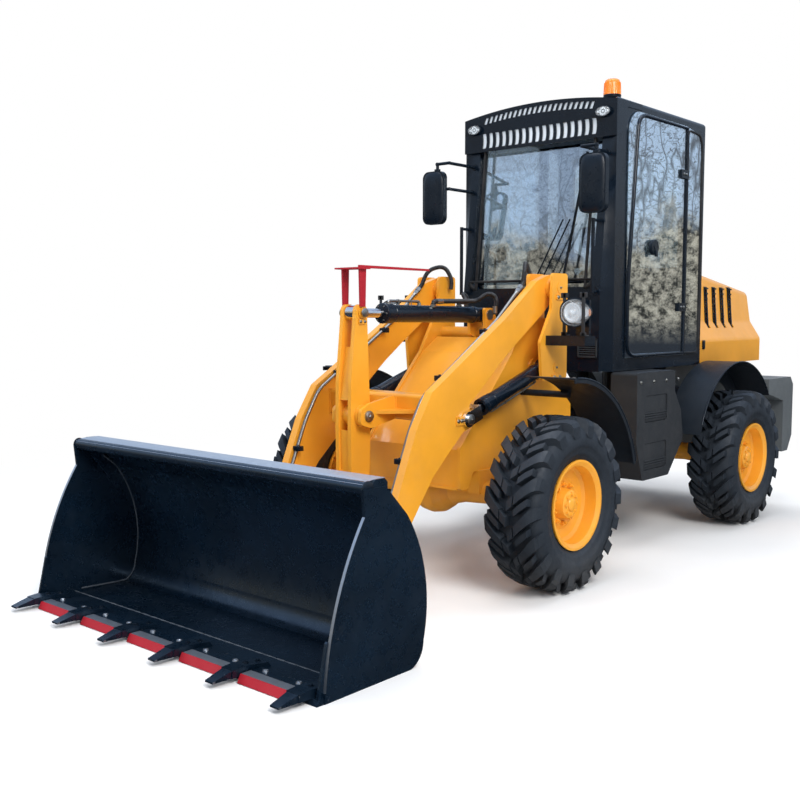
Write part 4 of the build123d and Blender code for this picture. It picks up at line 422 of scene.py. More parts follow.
# Pale steel: real rubbed edges, bolts and tooth tips, and also the painted highlight strip on the bucket's
# top bar.
STEEL = Metal("worn_steel", (0.55, 0.59, 0.64), roughness=0.42, scratch=0.0001, stretch=(1.0, 8.0, 1.0))
MIRROR = Metal("mirror_face", (0.92, 0.94, 0.96), "chrome", roughness=0.03, scratch=0.0)
PLASTIC = Moulded("moulded_black", (0.0105, 0.0150, 0.0215), roughness=0.40, dust=0.03)
SATIN = Moulded("moulded_satin", (0.0035, 0.0080, 0.0150), roughness=0.30, grain=0.00006, dust=0.02)
MOULD = Moulded("moulded_grey", (0.026, 0.029, 0.033), roughness=0.50, dust=0.05)
SEAL = Moulded("rubber_seal", (0.010, 0.010, 0.011), roughness=0.62, grain_scale=300.0)
TYRE = Tread("tyre_rubber", (0.0115, 0.0175, 0.0260), "tyre")
HOSE = Braid("hose_rubber", (0.012, 0.012, 0.013), "hose")
GLASS = Pane("pane_glass", (0.92, 0.95, 0.97), shine=0.28, edge=0.80)
SIDE_GLASS = Pane("pane_side_glass", (0.86, 0.93, 0.96), shine=0.42, edge=0.90)
CLEAR = Lens("lens_clear", (0.86, 0.90, 0.93), "lamp", clear=0.80)
LED = Lens("lens_led", (0.90, 0.93, 0.96), "lamp", ribs=40.0, glow=0.12, clear=0.15)
# Inner headlight bowls: a faint glow, painted light that makes these reflectors read bright silver-white.
GLOWING_BOWL = Lens("lamp_bowl", (0.80, 0.85, 0.90), "chrome", ribs=30.0, glow=0.10, clear=0.0)
AMBER = Lens("lens_amber", (0.95, 0.27, 0.01), "amber", ribs=55.0, glow=0.25, clear=0.2)
TAIL = Lens("lens_red", (0.62, 0.015, 0.02), "red", ribs=70.0, glow=0.08, clear=0.1)
FABRIC = Cloth("seat_cloth", (0.016, 0.017, 0.020))
FLOOR = FloorFade("floor_pale", WHITE)


# ---------------------------------------------------------------------------------------
# Mesh work
# ---------------------------------------------------------------------------------------
def around(count: int) -> list[float]:
    """Args: count: how many. Returns: that many angles evenly round a turn."""
    return [math.tau * k / count for k in range(count)]


def rounded(points: Sequence[Point], bend: float, steps: int = 6) -> list[Vector]:
    """Args: points: a route's corners; bend: reach of each round; steps: points a corner. Returns: the
    route."""
    corners = [Vector(p) for p in points]
    route = [corners[0]]
    for before, here, after in zip(corners, corners[1:], corners[2:]):
        back, on = before - here, after - here
        reach = min(bend, back.length * 0.48, on.length * 0.48)
        start, end = here + back.normalized() * reach, here + on.normalized() * reach
        for index in range(steps + 1):
            t = index / steps
            route.append(start * (1 - t) ** 2 + here * (2 * t * (1 - t)) + end * t**2)
    return route + [corners[-1]]


def arc_through(a: Pair, b: Pair, c: Pair, steps: int = 24) -> list[Pair]:
    """Args: a, b, c: three points of an arc; steps: its parts. Returns: points along the arc from a to c."""
    ax, ay, bx, by, cx, cy = *a, *b, *c
    d = 2 * (ax * (by - cy) + bx * (cy - ay) + cx * (ay - by))
    aa, bb, cc = ax**2 + ay**2, bx**2 + by**2, cx**2 + cy**2
    ux = (aa * (by - cy) + bb * (cy - ay) + cc * (ay - by)) / d
    uy = (aa * (cx - bx) + bb * (ax - cx) + cc * (bx - ax)) / d
    radius = math.hypot(ax - ux, ay - uy)
    start, middle, end = (math.atan2(y - uy, x - ux) for x, y in (a, b, c))
    turn = (end - start) % math.tau
    if (middle - start) % math.tau > turn:
        turn -= math.tau
    angles = [start + turn * i / steps for i in range(steps + 1)]
    return [(ux + radius * math.cos(t), uy + radius * math.sin(t)) for t in angles]


def arch(x: float, y: float, first: int, last: int) -> list[Point]:
    """Args: x, y: a wheel's place; first, last: degrees from ahead. Returns: the edge of its mudguard."""
    angles = [math.radians(a) for a in range(first, last, 4)]
    return [(x + GUARD_RADIUS * math.cos(t), y, AXLE_Z + GUARD_RADIUS * math.sin(t)) for t in angles]


def ovals(
    centre: Pair, rows: Sequence[Point], power: Pair = (1.0, 1.0), count: int = 40, taper: float = 0.0,
    s: int = 1,
) -> list[list[Vector]]:
    """Args: centre: Y, Z; rows: (x, half width, half height) of each ring; power: squareness in Y, Z; count:
    points a ring; taper: how much the outboard end drops; s: the outboard side. Returns: the rings."""
    rings = []
    for at, wide, high in rows:
        ring = []
        for t in around(count):
            c, d = math.cos(t), math.sin(t)
            tall = high * (1 - taper * max(0.0, c) ** 1.4)
            y = centre[0] + s * math.copysign(abs(c) ** power[0], c) * wide
            ring.append(Vector((at, y, centre[1] + math.copysign(abs(d) ** power[1], d) * tall)))
        rings.append(ring)
    return rings


class Form:
    """Collects the mesh of one piece, in metres in the shared frame."""

    def __init__(self) -> None:
        """Starts an empty mesh."""
        self.mesh = bmesh.new()

    def skin(self, rings: Sequence[Sequence[Vector]], closed: bool = False, caps: bool = True) -> "Form":
        """Args: rings: equal rings of points; closed: last meets first; caps: close the ends.
        Returns: self."""
        rows = [[self.mesh.verts.new(p) for p in ring] for ring in rings]
        pairs = list(zip(rows, rows[1:])) + ([(rows[-1], rows[0])] if closed else [])
        for low, high in pairs:
            for i in range(len(low)):
                j = (i + 1) % len(low)
                self.mesh.faces.new((low[i], low[j], high[j], high[i]))
        if caps and not closed:
            self.mesh.faces.new(rows[0][::-1])
            self.mesh.faces.new(rows[-1])
        return self

    def tube(
        self, route: Sequence[Vector | Point], radius: float, sides: int = 12, closed: bool = False,
        sizes: Sequence[float] = (),
    ) -> "Form":
        """Args: route: a round tube's centre line; radius: its size; sides: around; closed: a loop; sizes: a
        radius at each point instead. Returns: self."""
        line = [Vector(p) for p in route]
        count = len(line)
        spans = [line[(i + 1) % count] - line[i] for i in range(count)]
        across = spans[0].orthogonal().normalized()
        rings = []
        for i, centre in enumerate(line):
            ahead = spans[i] if closed or i < count - 1 else spans[i - 1]
            behind = spans[i - 1] if closed or i > 0 else spans[i]
            along = (ahead.normalized() + behind.normalized()).normalized()
            across = (across - along * across.dot(along)).normalized()
            other = along.cross(across)
            size = sizes[i] if sizes else radius
            spokes = [across * math.cos(a) + other * math.sin(a) for a in around(sides)]
            rings.append([centre + spoke * size for spoke in spokes])
        return self.skin(rings, closed=closed)

    def ribbed(self, corners: Sequence[Point], bend: float) -> "Form":
        """A hose in a spiral guard. Args: corners: its route; bend: reach of each round. Returns: self."""
        radius, step, high = 0.0125, 0.00225, 0.0026
        dense: list[Vector] = []
        route = rounded(corners, bend, 10)
        for a, b in zip(route, route[1:]):
            parts = max(1, round((b - a).length / step))
            dense += [a.lerp(b, i / parts) for i in range(parts)]
        sizes = [radius + high * (0.5 + 0.5 * math.sin(i * math.tau / 4)) for i in range(len(dense))]
        return self.tube(dense, radius, 12, sizes=sizes)

    def turned(
        self, base: Point, axis: Vector, profile: Sequence[Pair], sides: int = 48, closed: bool = False
    ) -> "Form":
        """Args: base: a turned body's origin; axis: its direction; profile: (along, radius); sides: around;
        closed: the profile is a loop. Returns: self."""
        turn, origin = axis.to_track_quat("Z", "Y"), Vector(base)
        rings = [
            [origin + turn @ Vector((r * math.cos(t), r * math.sin(t), along)) for t in around(sides)]
            for along, r in profile
        ]
        return self.skin(rings, closed=closed)

    def rod(
        self, start: Point, end: Point, radius: float, end_radius: float | None = None, sides: int = 24
    ) -> "Form":
        """Args: start, end: of a round bar or cone; radius, end_radius: their sizes; sides: around.
        Returns: self."""
        a, b = Vector(start), Vector(end)
        turn = (b - a).to_track_quat("Z", "Y")
        ends = ((a, radius), (b, radius if end_radius is None else end_radius))
        return self.skin([
            [centre + turn @ Vector((size * math.cos(t), size * math.sin(t), 0)) for t in around(sides)]
            for centre, size in ends
        ])

    def stack(self, start: Point, along: Vector, parts: Sequence[tuple], sides: int = 24) -> "Form":
        """Rods in a row. Args: start, along: their line; parts: (from, to, radius, end radius or none);
        sides: around. Returns: self."""
        base = Vector(start)
        for low, high, *radii in parts:
            self.rod(base + along * low, base + along * high, *radii, sides=sides)
        return self

    def plate(self, outline: Sequence[Pair], low: float, high: float) -> "Form":
        """Args: outline: a flat plate's corners in X, Z; low, high: its faces in Y, in any order.
        Returns: self."""
        return self.skin([[Vector((x, y, z)) for x, z in outline] for y in sorted((low, high))])

    def pierced(
        self, outline: Sequence[Pair], holes: Sequence[Sequence[Pair]], low: float, high: float
    ) -> "Form":
        """Args: outline: a plate's corners in Y, Z; holes: theirs; low, high: its faces in X.
        Returns: self."""
        for at in (low, high):
            edges = []
            for loop in (outline, *holes):
                row = [self.mesh.verts.new((at, y, z)) for y, z in loop]
                edges += [self.mesh.edges.new((a, b)) for a, b in zip(row, row[1:] + row[:1])]
            bmesh.ops.triangle_fill(self.mesh, edges=edges, use_beauty=True, normal=(1, 0, 0))
        for loop in (outline, *holes):
            self.skin([[Vector((at, y, z)) for y, z in loop] for at in (low, high)], caps=False)
        bmesh.ops.remove_doubles(self.mesh, verts=self.mesh.verts, dist=1e-6)
        return self

    def box(self, low: Point, high: Point, bevel: float = 0.0) -> "Form":
        """Args: low, high: two opposite corners; bevel: edge size. Returns: self."""
        centre = (Vector(low) + Vector(high)) / 2
        size = [abs(h - b) for b, h in zip(low, high)]
        where = Matrix.Translation(centre) @ Matrix.Diagonal((*size, 1.0))
        made = bmesh.ops.create_cube(self.mesh, size=1.0, matrix=where)
        if bevel:
            edges = list(dict.fromkeys(e for v in made["verts"] for e in v.link_edges))
            bmesh.ops.bevel(self.mesh, geom=edges, offset=bevel, segments=3, profile=0.6, affect="EDGES")
        return self

    def bolt(self, seat: Point, axis: Vector, size: float = 0.012, high: float = 0.008) -> "Form":
        """A hexagon head on a washer. Args: seat: under it; axis: outward; size, high: the head's.
        Returns: self."""
        base = Vector(seat)
        self.rod(base, base + axis * high * 0.25, size * 1.35, size * 1.3, 20)
        self.rod(base + axis * high * 0.25, base + axis * high * 0.9, size, size, 6)
        return self.rod(base + axis * high * 0.9, base + axis * high, size * 0.98, size * 0.8, 6)

    def make(self, name: str, finish: Finish, sharp: float = EDGE_DEGREES) -> bpy.types.Object:
        """Args: name: the object's; finish: its surface; sharp: degrees of a hard edge. Returns: the
        object."""
        bmesh.ops.recalc_face_normals(self.mesh, faces=self.mesh.faces)
        data = bpy.data.meshes.new(name)
        self.mesh.to_mesh(data)
        self.mesh.free()
        data.polygons.foreach_set("use_smooth", [True] * len(data.polygons))
        data.set_sharp_from_angle(angle=math.radians(sharp))
        data.materials.append(finish.material)
        made = bpy.data.objects.new(name, data)
        bpy.context.scene.collection.objects.link(made)
        return made

    def put(
        self, name: str, finish: Finish, body: str, nodes: Iterable[str] = (), sharp: float = EDGE_DEGREES,
        slot: str = "",
    ) -> None:
        """Makes a piece of it. Args: name: the piece's; finish: its surface; body: what it rides on; nodes:
        the CAD nodes that it stands for; sharp: degrees of a hard edge; slot: not used."""
        settle(self.make(name, finish, sharp), body, nodes)


def settle(piece: bpy.types.Object, body: str, replaces: Iterable[str] = ()) -> None:
    """Ties a piece to the frame. Args: piece: it; body: what it rides on; replaces: the CAD nodes that it
    stands for."""
    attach(piece, body)
    nodes = list(replaces)
    if nodes:
        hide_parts(*nodes)


# ---------------------------------------------------------------------------------------
# Repeats by Geometry Nodes
# ---------------------------------------------------------------------------------------
class Repeat:
    """A Geometry Nodes tree that sets copies of a template on points."""

    def __init__(self, name: str, inputs: dict[str, str]) -> None:
        """Args: name: the tree's name; inputs: the kind of each of its own inputs."""
        self.group = bpy.data.node_groups.new(name, "GeometryNodeTree")
        self.nodes = NodeSketch(self.group)
        face = self.group.interface
        face.new_socket(name="Geometry", in_out="OUTPUT", socket_type="NodeSocketGeometry")
        kinds = {"Template": "Object", "Finish": "Material", "Count": "Int", **inputs}
        self.keys = {
            word: face.new_socket(name=word, in_out="INPUT", socket_type="NodeSocket" + kind).identifier
            for word, kind in kinds.items()
        }
        self.given = self.nodes.add("NodeGroupInput").outputs

    def close(self, place: Socket, angle: Socket) -> None:
        """Instances, realizes and finishes. Args: place: each copy's; angle: its turn about the given
        axis."""
        given, nodes = self.given, self.nodes
        points = nodes.out("GeometryNodePoints", {"Count": given["Count"], "Position": place})
        turn = nodes.out("FunctionNodeAxisAngleToRotation", {"Axis": given["Axis"], "Angle": angle})
        shape = nodes.add("GeometryNodeObjectInfo", {"Object": given["Template"]}).outputs["Geometry"]
        inputs = {"Points": points, "Instance": shape, "Rotation": turn}
        copies = nodes.out("GeometryNodeInstanceOnPoints", inputs)
        real = nodes.out("GeometryNodeRealizeInstances", {0: copies})
        finished = nodes.out("GeometryNodeSetMaterial", {0: real, "Material": given["Finish"]})
        nodes.add("NodeGroupOutput", {0: finished})

    def run(self, template: bpy.types.Object, name: str, values: dict[str, object]) -> bpy.types.Object:
        """Evaluates the tree. Args: template: what repeats; name: the piece's; values: its inputs.
        Returns: it."""
        holder = bpy.data.objects.new(name + "_seed", bpy.data.meshes.new(name + "_seed"))
        bpy.context.scene.collection.objects.link(holder)
        modifier = holder.modifiers.new("repeat", "NODES")
        modifier.node_group = self.group
        for key, value in {**values, "Template": template, "Finish": template.data.materials[0]}.items():
            modifier[self.keys[key]] = value
        graph = bpy.context.evaluated_depsgraph_get()
        data = bpy.data.meshes.new_from_object(holder.evaluated_get(graph))
        data.name = name
        bpy.data.objects.remove(holder)
        bpy.data.objects.remove(template)
        piece = bpy.data.objects.new(name, data)
        bpy.context.scene.collection.objects.link(piece)
        return piece


class RingRepeat(Repeat):
    """Copies turned about an axis through a centre."""

    def __init__(self) -> None:
        """Draws the tree."""
        super().__init__(
            "ring_repeat", {"Centre": "Vector", "Axis": "Vector", "Step": "Float", "Start": "Float"}
        )
        n, given = self.nodes, self.given
        index = n.out("GeometryNodeInputIndex")
        self.close(given["Centre"], n.maths("ADD", n.maths("MULTIPLY", index, given["Step"]), given["Start"]))

    def put(
        self, form: Form, finish: Finish, name: str, body: str, centre: Point, axis: Vector, count: int,
        nodes: Iterable[str] = (), sharp: float = EDGE_DEGREES,
    ) -> None:
        """A ring of copies. Args: form: drawn about the origin; finish, name, body, nodes, sharp: the
        piece's; centre, axis: the ring's; count: how many."""
        step = math.tau / count
        values = {"Count": count, "Centre": centre, "Axis": tuple(axis), "Step": step, "Start": 0.0}
        settle(self.run(form.make(name + "_one", finish, sharp), name, values), body, nodes)


class GridRepeat(Repeat):
    """Copies in rows and columns, each rolled a little about the upright axis."""

    seed: int = 7

    def __init__(self) -> None:
        """Draws the tree."""
        super().__init__("grid_repeat", {
            "Columns": "Int", "Start": "Vector", "Along": "Vector", "Across": "Vector", "Axis": "Vector",
            "Roll": "Float", "Seed": "Int",
        })
        n, given = self.nodes, self.given
        index = n.out("GeometryNodeInputIndex")
        column = n.maths("MODULO", index, given["Columns"])
        row = n.maths("FLOOR", n.maths("DIVIDE", index, given["Columns"]))
        along = n.out("ShaderNodeVectorMath", {0: given["Along"], "Scale": column}, operation="SCALE")
        across = n.out("ShaderNodeVectorMath", {0: given["Across"], "Scale": row}, operation="SCALE")
        offset = n.out("ShaderNodeVectorMath", {0: along, 1: across}, operation="ADD")
        place = n.out("ShaderNodeVectorMath", {0: offset, 1: given["Start"]}, operation="ADD")
        dice = n.add("FunctionNodeRandomValue", {"Seed": given["Seed"]}, data_type="FLOAT")
        n.feed([s for s in dice.inputs if s.name == "Max" and s.type == "VALUE"][0], given["Roll"])
        self.close(place, [s for s in dice.outputs if s.type == "VALUE"][0])

    def put(
        self, form: Form, finish: Finish, name: str, body: str, start: Point, along: Point, columns: int,
        across: Point = (0.0, 0.0, 0.0), rows: int = 1, roll: float = 0.0, nodes: Iterable[str] = (),
    ) -> None:
        """A grid of copies. Args: form: drawn about the origin; finish, name, body, nodes: the piece's;
        start: the first place; along, across: the steps; columns, rows: how many; roll: the largest random
        turn."""
        values = {
            "Count": columns * rows, "Columns": columns, "Start": start, "Along": along, "Across": across,
            "Axis": tuple(UP), "Roll": roll, "Seed": self.seed,
        }
        settle(self.run(form.make(name + "_one", finish), name, values), body, nodes)


RINGS = RingRepeat()
GRIDS = GridRepeat()


# ---------------------------------------------------------------------------------------
# Sub-assemblies
# ---------------------------------------------------------------------------------------
@dataclass
class Wheel:
    """One tyre with chevron lugs, and the studs and valve of its rim."""

    end: str
    side: Side
    x: float
    y: float = 0.865
    z: float = AXLE_Z
    lugs: int = 18
    mean_radius: float = 0.48
    flare: float = 1.10

    @property
    def centre(self) -> Point:
        """Returns: the wheel's centre."""
        return (self.x, self.side.value * self.y, self.z)

    @property
    def name(self) -> str:
        """Returns: how the wheel's nodes begin."""
        return f"{self.end}_{self.side.word}"

    @property
    def body(self) -> str:
        """Returns: the CAD body that turns."""
        return self.name + "_wheel"

    def lug(self, form: Form, stations: Sequence[tuple[float, ...]], mirror: int, shift: float) -> None:
        """One tread block. Args: form: the mesh; stations: (y, top radius, base radius, angle, half width);
        mirror: side of the tread; shift: angle of the whole block."""
        rings = []
        for y, top, base, angle, half in stations:
            foot = half * self.flare
            corners = ((base, -foot), (top, -half), (top, half), (base, foot))
            turns = [(r, shift - angle + w / self.mean_radius) for r, w in corners]
            rings.append([Vector((r * math.sin(t), mirror * y, r * math.cos(t))) for r, t in turns])
        form.skin(rings)

    def tyre(self) -> None:
        """The carcass and its lugs."""
        half = [
            (0.116, 0.238), (0.130, 0.252), (0.140, 0.266), (0.147, 0.283), (0.152, 0.286), (0.156, 0.300),
            (0.163, 0.330), (0.1665, 0.334), (0.168, 0.352), (0.1685, 0.370), (0.1640, 0.395), (0.155, 0.418),
            (0.142, 0.436), (0.120, 0.4460), (0.07, 0.4505), (0.0, 0.4520),
        ]
        profile = half + [(-a, r) for a, r in reversed(half[:-1])]
        axis, nodes = Axis.Y.vector, [self.name + "_tyre"]
        carcass = Form().turned(self.centre, axis, profile, sides=96, closed=True)
        carcass.put(self.name + "_carcass", TYRE, self.body, nodes, sharp=60)
        bar = [
            (0.046, 0.4985, 0.445, 0.00, 0.027), (0.085, 0.4980, 0.443, 0.075, 0.029),
            (0.118, 0.4945, 0.438, 0.140, 0.033), (0.140, 0.4880, 0.430, 0.182, 0.036),
            (0.158, 0.4760, 0.412, 0.208, 0.037), (0.1690, 0.4520, 0.395, 0.222, 0.035),
            (0.1698, 0.4020, 0.385, 0.228, 0.028),
        ]
        inner = [(0.003, 0.4990, 0.446, -0.080, 0.025), (0.038, 0.4988, 0.445, -0.015, 0.027)]
        knob = [
            (0.050, 0.4970, 0.444, -0.140, 0.018), (0.090, 0.4960, 0.442, -0.070, 0.020),
            (0.126, 0.4900, 0.438, -0.012, 0.019),
        ]
        template = Form()
        for mirror, shift in ((1, 0.0), (-1, math.tau / self.lugs / 2)):
            for block in (bar, inner, knob):
                self.lug(template, block, mirror, shift)
        name = self.name + "_tread"
        RINGS.put(template, TYRE, name, self.body, self.centre, axis, self.lugs, nodes, sharp=22)

    def fasteners(self) -> None:
        """Studs and nuts on the disc, bolts on the hub and the valve."""
        s, axis = self.side.value, Axis.Y.vector
        x, y, z = self.centre
        stud = Form().stack((0, 0, 0.113), axis * s, [(0.044, 0.047, 0.018, 0.017)], 20)
        stud.stack((0, 0, 0.113), axis * s, [(0.047, 0.063, 0.0145, 0.0140)], 6)
        stud.stack((0, 0, 0.113), axis * s, [(0.06, 0.075, 0.007, 0.006)], 12)
        RINGS.put(stud, YELLOW, self.name + "_studs", self.body, self.centre, axis, 10)
        hub = Form().bolt((0, s * 0.106, 0.058), axis * s, 0.009, 0.008)
        RINGS.put(hub, YELLOW, self.name + "_hub_bolts", self.body, self.centre, axis, 8)
        dome = [(0.100, 0.040), (0.105, 0.040), (0.112, 0.038), (0.118, 0.030), (0.120, 0.002)]
        Form().turned(self.centre, axis * s, dome, 32).put(self.name + "_hub_cap", YELLOW, self.body)
        stem = [(0.13, 0.05, 0.16), (0.125, 0.075, 0.152), (0.115, 0.10, 0.14)]
        valve = Form().tube(rounded([(x + dx, y + s * dy, z + dz) for dx, dy, dz in stem], 0.02), 0.004)
        valve.put(self.name + "_valve", ZINC, self.body)

    def build(self) -> None:
        """Builds the wheel's pieces."""
        self.tyre()
        self.fasteners()


@dataclass
class BucketTrim:
    """Edge plates, bolts, weld beads and worn strips of the bucket."""

    half: float = 1.113
    side_plate: float = 0.016
    lip_x: float = 2.770
    crest_x: float = 2.410
    tooth_span: float = 2.056
    count: int = 6
    segment_half: float = 0.160
    body: str = "bucket_body"

    @property
    def pitch(self) -> float:
        """Returns: from tooth to tooth."""
        return self.tooth_span / (self.count - 1)

    def segments(self) -> None:
        """Red edge plates between the teeth, with their bolts."""
        x, gaps, start = self.lip_x, self.count - 1, (self.pitch - self.tooth_span) / 2
        edge = [(0.0590, 0.0362), (0.0785, 0.0022), (0.0815, 0.0035), (0.0615, 0.0395), (0.0590, 0.0395)]
        strip = [(0.004, 0.0362), (0.057, 0.0362), (0.057, 0.0385), (0.004, 0.0385)]
        for name, finish, outline in (("edge_segments", RED, edge), ("edge_strips", STEEL, strip)):
            plate = Form().plate([(x + dx, z) for dx, z in outline], -self.segment_half, self.segment_half)
            GRIDS.put(plate, finish, name, self.body, (0.0, start, 0.0), (0, self.pitch, 0), gaps)
        head = Form().rod((0, 0, 0), (0, 0, 0.006), 0.014, 0.0125, 20)
        head.rod((0, 0, 0.006), (0, 0, 0.0075), 0.008, 0.007, 6)
        first, step, over = (x - 0.032, start - 0.105, 0.0362), (0, self.pitch, 0), (0, 0.21, 0)
        GRIDS.put(head, STEEL, "edge_bolts", self.body, first, step, gaps, over, rows=2, roll=1.0)

    def teeth(self) -> None:
        """Bolts through each tooth's shank and a bright line on its tip."""
        y, step, over = -self.tooth_span / 2, (0, self.pitch, 0), (0.07, 0, 0.009)
        bolt, start = Form().bolt((0, 0, 0), UP, 0.011, 0.009), (self.lip_x - 0.075, y, 0.0475)
        GRIDS.put(bolt, BLACK, "tooth_bolts", self.body, start, step, self.count, over, rows=2, roll=1.0)
        tip = [(2.940, 0.0335), (2.9645, 0.0310), (2.9645, 0.0230), (2.945, 0.0220)]
        worn = Form().plate(tip, -0.0262, 0.0262)
        GRIDS.put(worn, STEEL, "tooth_tips", self.body, (0, y, 0), step, self.count)

    def welds(self) -> None:
        """Beads inside the sheet's corners and behind the lip."""
        x = self.lip_x - 0.20
        sheet = [(x, 0.024), (2.30, 0.013), (2.236, 0.013)]
        sheet += arc_through((2.236, 0.0125), (2.1925, 0.0445), (2.1665, 0.112), 8)[1:]
        sheet += arc_through((2.1665, 0.112), (2.1445, 0.32), (2.2785, 0.695), 16)[1:] + [(2.408, 0.80)]
        bead = Form()
        for s in SIGNS:
            y = s * (self.half - self.side_plate - 0.002)
            line = [(px + 0.0009 * math.sin(i * 2.1), y, pz + 0.004) for i, (px, pz) in enumerate(sheet)]
            bead.tube(line, 0.0045, 8)
        lip = [(x - 0.0005, -1.09 + 0.02 * i, 0.016 + 0.0008 * math.sin(i * 1.7)) for i in range(110)]
        bead.tube(lip, 0.008, 8).put("bucket_welds", SEAM, self.body)

    def edges(self) -> None:
        """Rubbed front edges of the side plates, the caps of the top bar, and a pale strip painting a
        highlight along the bar.
        """
        x = self.lip_x
        curve = arc_through((self.crest_x + 0.118, 0.730), (x - 0.082, 0.400), (x - 0.008, 0.044), 30)
        strip, caps = Form(), Form()
        for s in SIGNS:
            low, high = s * (self.half - self.side_plate + 0.0005), s * (self.half - 0.0005)
            section = ((0.0002, low), (0.0016, low), (0.0016, high), (0.0002, high))
            strip.skin([[Vector((px + dx, y, pz)) for dx, y in section] for px, pz in curve])
            out = Axis.Y.vector * s
            cap = [(-0.004, 0.034), (0.002, 0.034), (0.004, 0.031)]
            caps.turned((2.506, s * (self.half - 0.0045), 0.846), out, cap, 40)
        strip.put("side_edges", STEEL, self.body)
        caps.put("bar_caps", BLACK, self.body)
        # Painted highlight: a thin pale steel skin on the black bar, standing in for the sky it reflects.
        bar = [(2.388, 0.8805), (2.462, 0.8805), (2.500, 0.8765), (2.530, 0.866)]
        section = ((-1.10, 0.0), (-1.10, -0.001), (1.10, -0.001), (1.10, 0.0))
        sheen = Form().skin([[Vector((px, y, pz + dz)) for y, dz in section] for px, pz in bar])
        sheen.put("bar_sheen", STEEL, self.body)

    def build(self) -> None:
        """Builds the bucket's pieces."""
        self.segments()
        self.teeth()
        self.welds()
        self.edges()


@dataclass
class BoomTrim:
    """Lines along the arms, their fittings, pin locks and weld beads."""

    line_y: float = 0.408
    line_r: float = 0.0105
    arm_y: float = 0.450
    hinge_x: float = 0.148
    body: str = "boom"

    def lines(self) -> None:
        """Steel pipes with clamps and couplers, and the hose over the hinge."""
        route = [
            (0.378, 1.741), (0.630, 1.532), (1.015, 1.298), (1.315, 1.118), (1.427, 0.940), (1.590, 0.560),
        ]
        pipes, hoses, clamps, caps, ends = Form(), Form(), Form(), Form(), Form()
        for s in SIGNS:
            y = s * self.line_y
            pipes.tube(rounded([(x, y, z) for x, z in route], 0.05), self.line_r)
            for (ax, az), (bx, bz) in ((route[0], route[1]), (route[-1], route[-2])):
                along = Vector((bx - ax, 0, bz - az)).normalized()
                ends.stack((ax, y, az), along, [(0.0, 0.028, 0.0175), (0.030, 0.055, 0.0155)], 6)
                ends.stack((ax, y, az), along, [(0.055, 0.075, 0.0125, 0.010)])
            down, end = Vector((0.163, 0, -0.380)).normalized(), Vector((1.590, y, 0.560))
            ends.stack(end, down, [(0.0, 0.05, 0.015), (0.05, 0.062, 0.019), (0.062, 0.09, 0.0165)])
            caps.stack(end, down, [(0.09, 0.115, 0.0185, 0.0165)])
            strap = ((0.10, 0.0), (0.06, 0.03), (0.02, 0.018))
            caps.tube(rounded([end + down * low + Vector((dx, 0, 0)) for low, dx in strap], 0.02), 0.002)
            x = self.hinge_x
            hoses.ribbed([
                (0.378, y, 1.741), (0.353, y, 1.759), (0.308, s * 0.392, 1.865), (0.208, s * 0.326, 1.895),
                (x - 0.01, s * 0.32, 1.805), (x, s * 0.32, 1.735),
            ], 0.06)
            inner = s * (self.arm_y - 0.0255)
            for x, z in ((0.735, 1.468), (1.155, 1.214), (1.495, 0.781)):
                clamps.box((x - 0.02, inner, z - 0.016), (x + 0.02, inner - s * 0.052, z + 0.014), 0.004)
                clamps.bolt((x, inner - s * 0.026, z + 0.014), UP, 0.007, 0.006)
        for name, form, finish in (
            ("boom_pipes", pipes, PIPE), ("boom_pipe_ends", ends, ZINC), ("boom_hoses", hoses, HOSE),
            ("boom_clamps", clamps, BLACK),
        ):
            form.put(name, finish, self.body, ["boom_lines"])
        caps.put("coupler_caps", RED, self.body)

    def locks(self) -> None:
        """Pin heads with slotted lock plates at the arm's joints."""
        steel, yellow = Form(), Form()
        for s in SIGNS:
            out = Axis.Y.vector * s
            for x, z, r, face in ((1.005, 0.975, 0.030, s * 0.5055), (1.740, 0.260, 0.028, s * 0.528)):
                steel.turned((x, face, z), out, [(0.0, r), (0.006, r), (0.009, r * 0.85)], 32)
                steel.rod((x, face + s * 0.009, z), (x, face + s * 0.018, z), 0.006, 0.004, 12)
            outline = [(1.045, 0.945), (1.105, 0.945), (1.105, 0.995), (1.045, 0.995)]
            yellow.plate(outline, s * 0.4755, s * 0.4835)
            for x in (1.06, 1.09):
                steel.bolt((x, s * 0.4835, 0.97), out, 0.009)
        steel.put("boom_pin_heads", ZINC, self.body)
        yellow.put("boom_pin_locks", YELLOW, self.body)

    def welds(self) -> None:
        """Beads where the cross tube and the crank brackets meet their neighbours."""
        bead = Form()
        x, z, h = 1.130, 1.040, 0.077
        for s in SIGNS:
            y, wide = s * (self.arm_y - 0.027), x + h - 0.001
            corners = [(x - h, y, z - h), (x + h, y, z - h), (x + h, y, z + h), (x - h, y, z + h)]
            bead.tube(corners, 0.006, 8, closed=True)
            bead.tube([(wide, s * 0.116, z - 0.06), (wide, s * 0.116, z + 0.06)], 0.005, 8)
        bead.put("boom_welds", YELLOW, self.body)

    def crank(self) -> None:
        """Lock plate and grease points of the bell crank and its bracket."""
        steel, yellow, cap = Form(), Form(), Form()
        for s in SIGNS:
            out = Axis.Y.vector * s
            steel.turned((1.432, s * 0.0845, 1.578), out, [(0, 0.026), (0.005, 0.026), (0.007, 0.022)], 32)
            outline = [(1.405, 1.515), (1.459, 1.515), (1.459, 1.543), (1.405, 1.543)]
            yellow.plate(outline, s * 0.061, s * 0.069)
            for x in (1.415, 1.449):
                steel.bolt((x, s * 0.069, 1.529), out, 0.007)
            cap.turned((1.435, s * 0.1228, 1.0), out, [(0, 0.029), (0.006, 0.029), (0.009, 0.024)], 32)
            cap.bolt((1.435, s * 0.131, 1.0), out, 0.010)
        steel.put("crank_pin_heads", ZINC, "bell_crank_body")
        yellow.put("crank_locks", YELLOW, "bell_crank_body")
        cap.put("crank_pivot_caps", ZINC, "crank_pin_body")

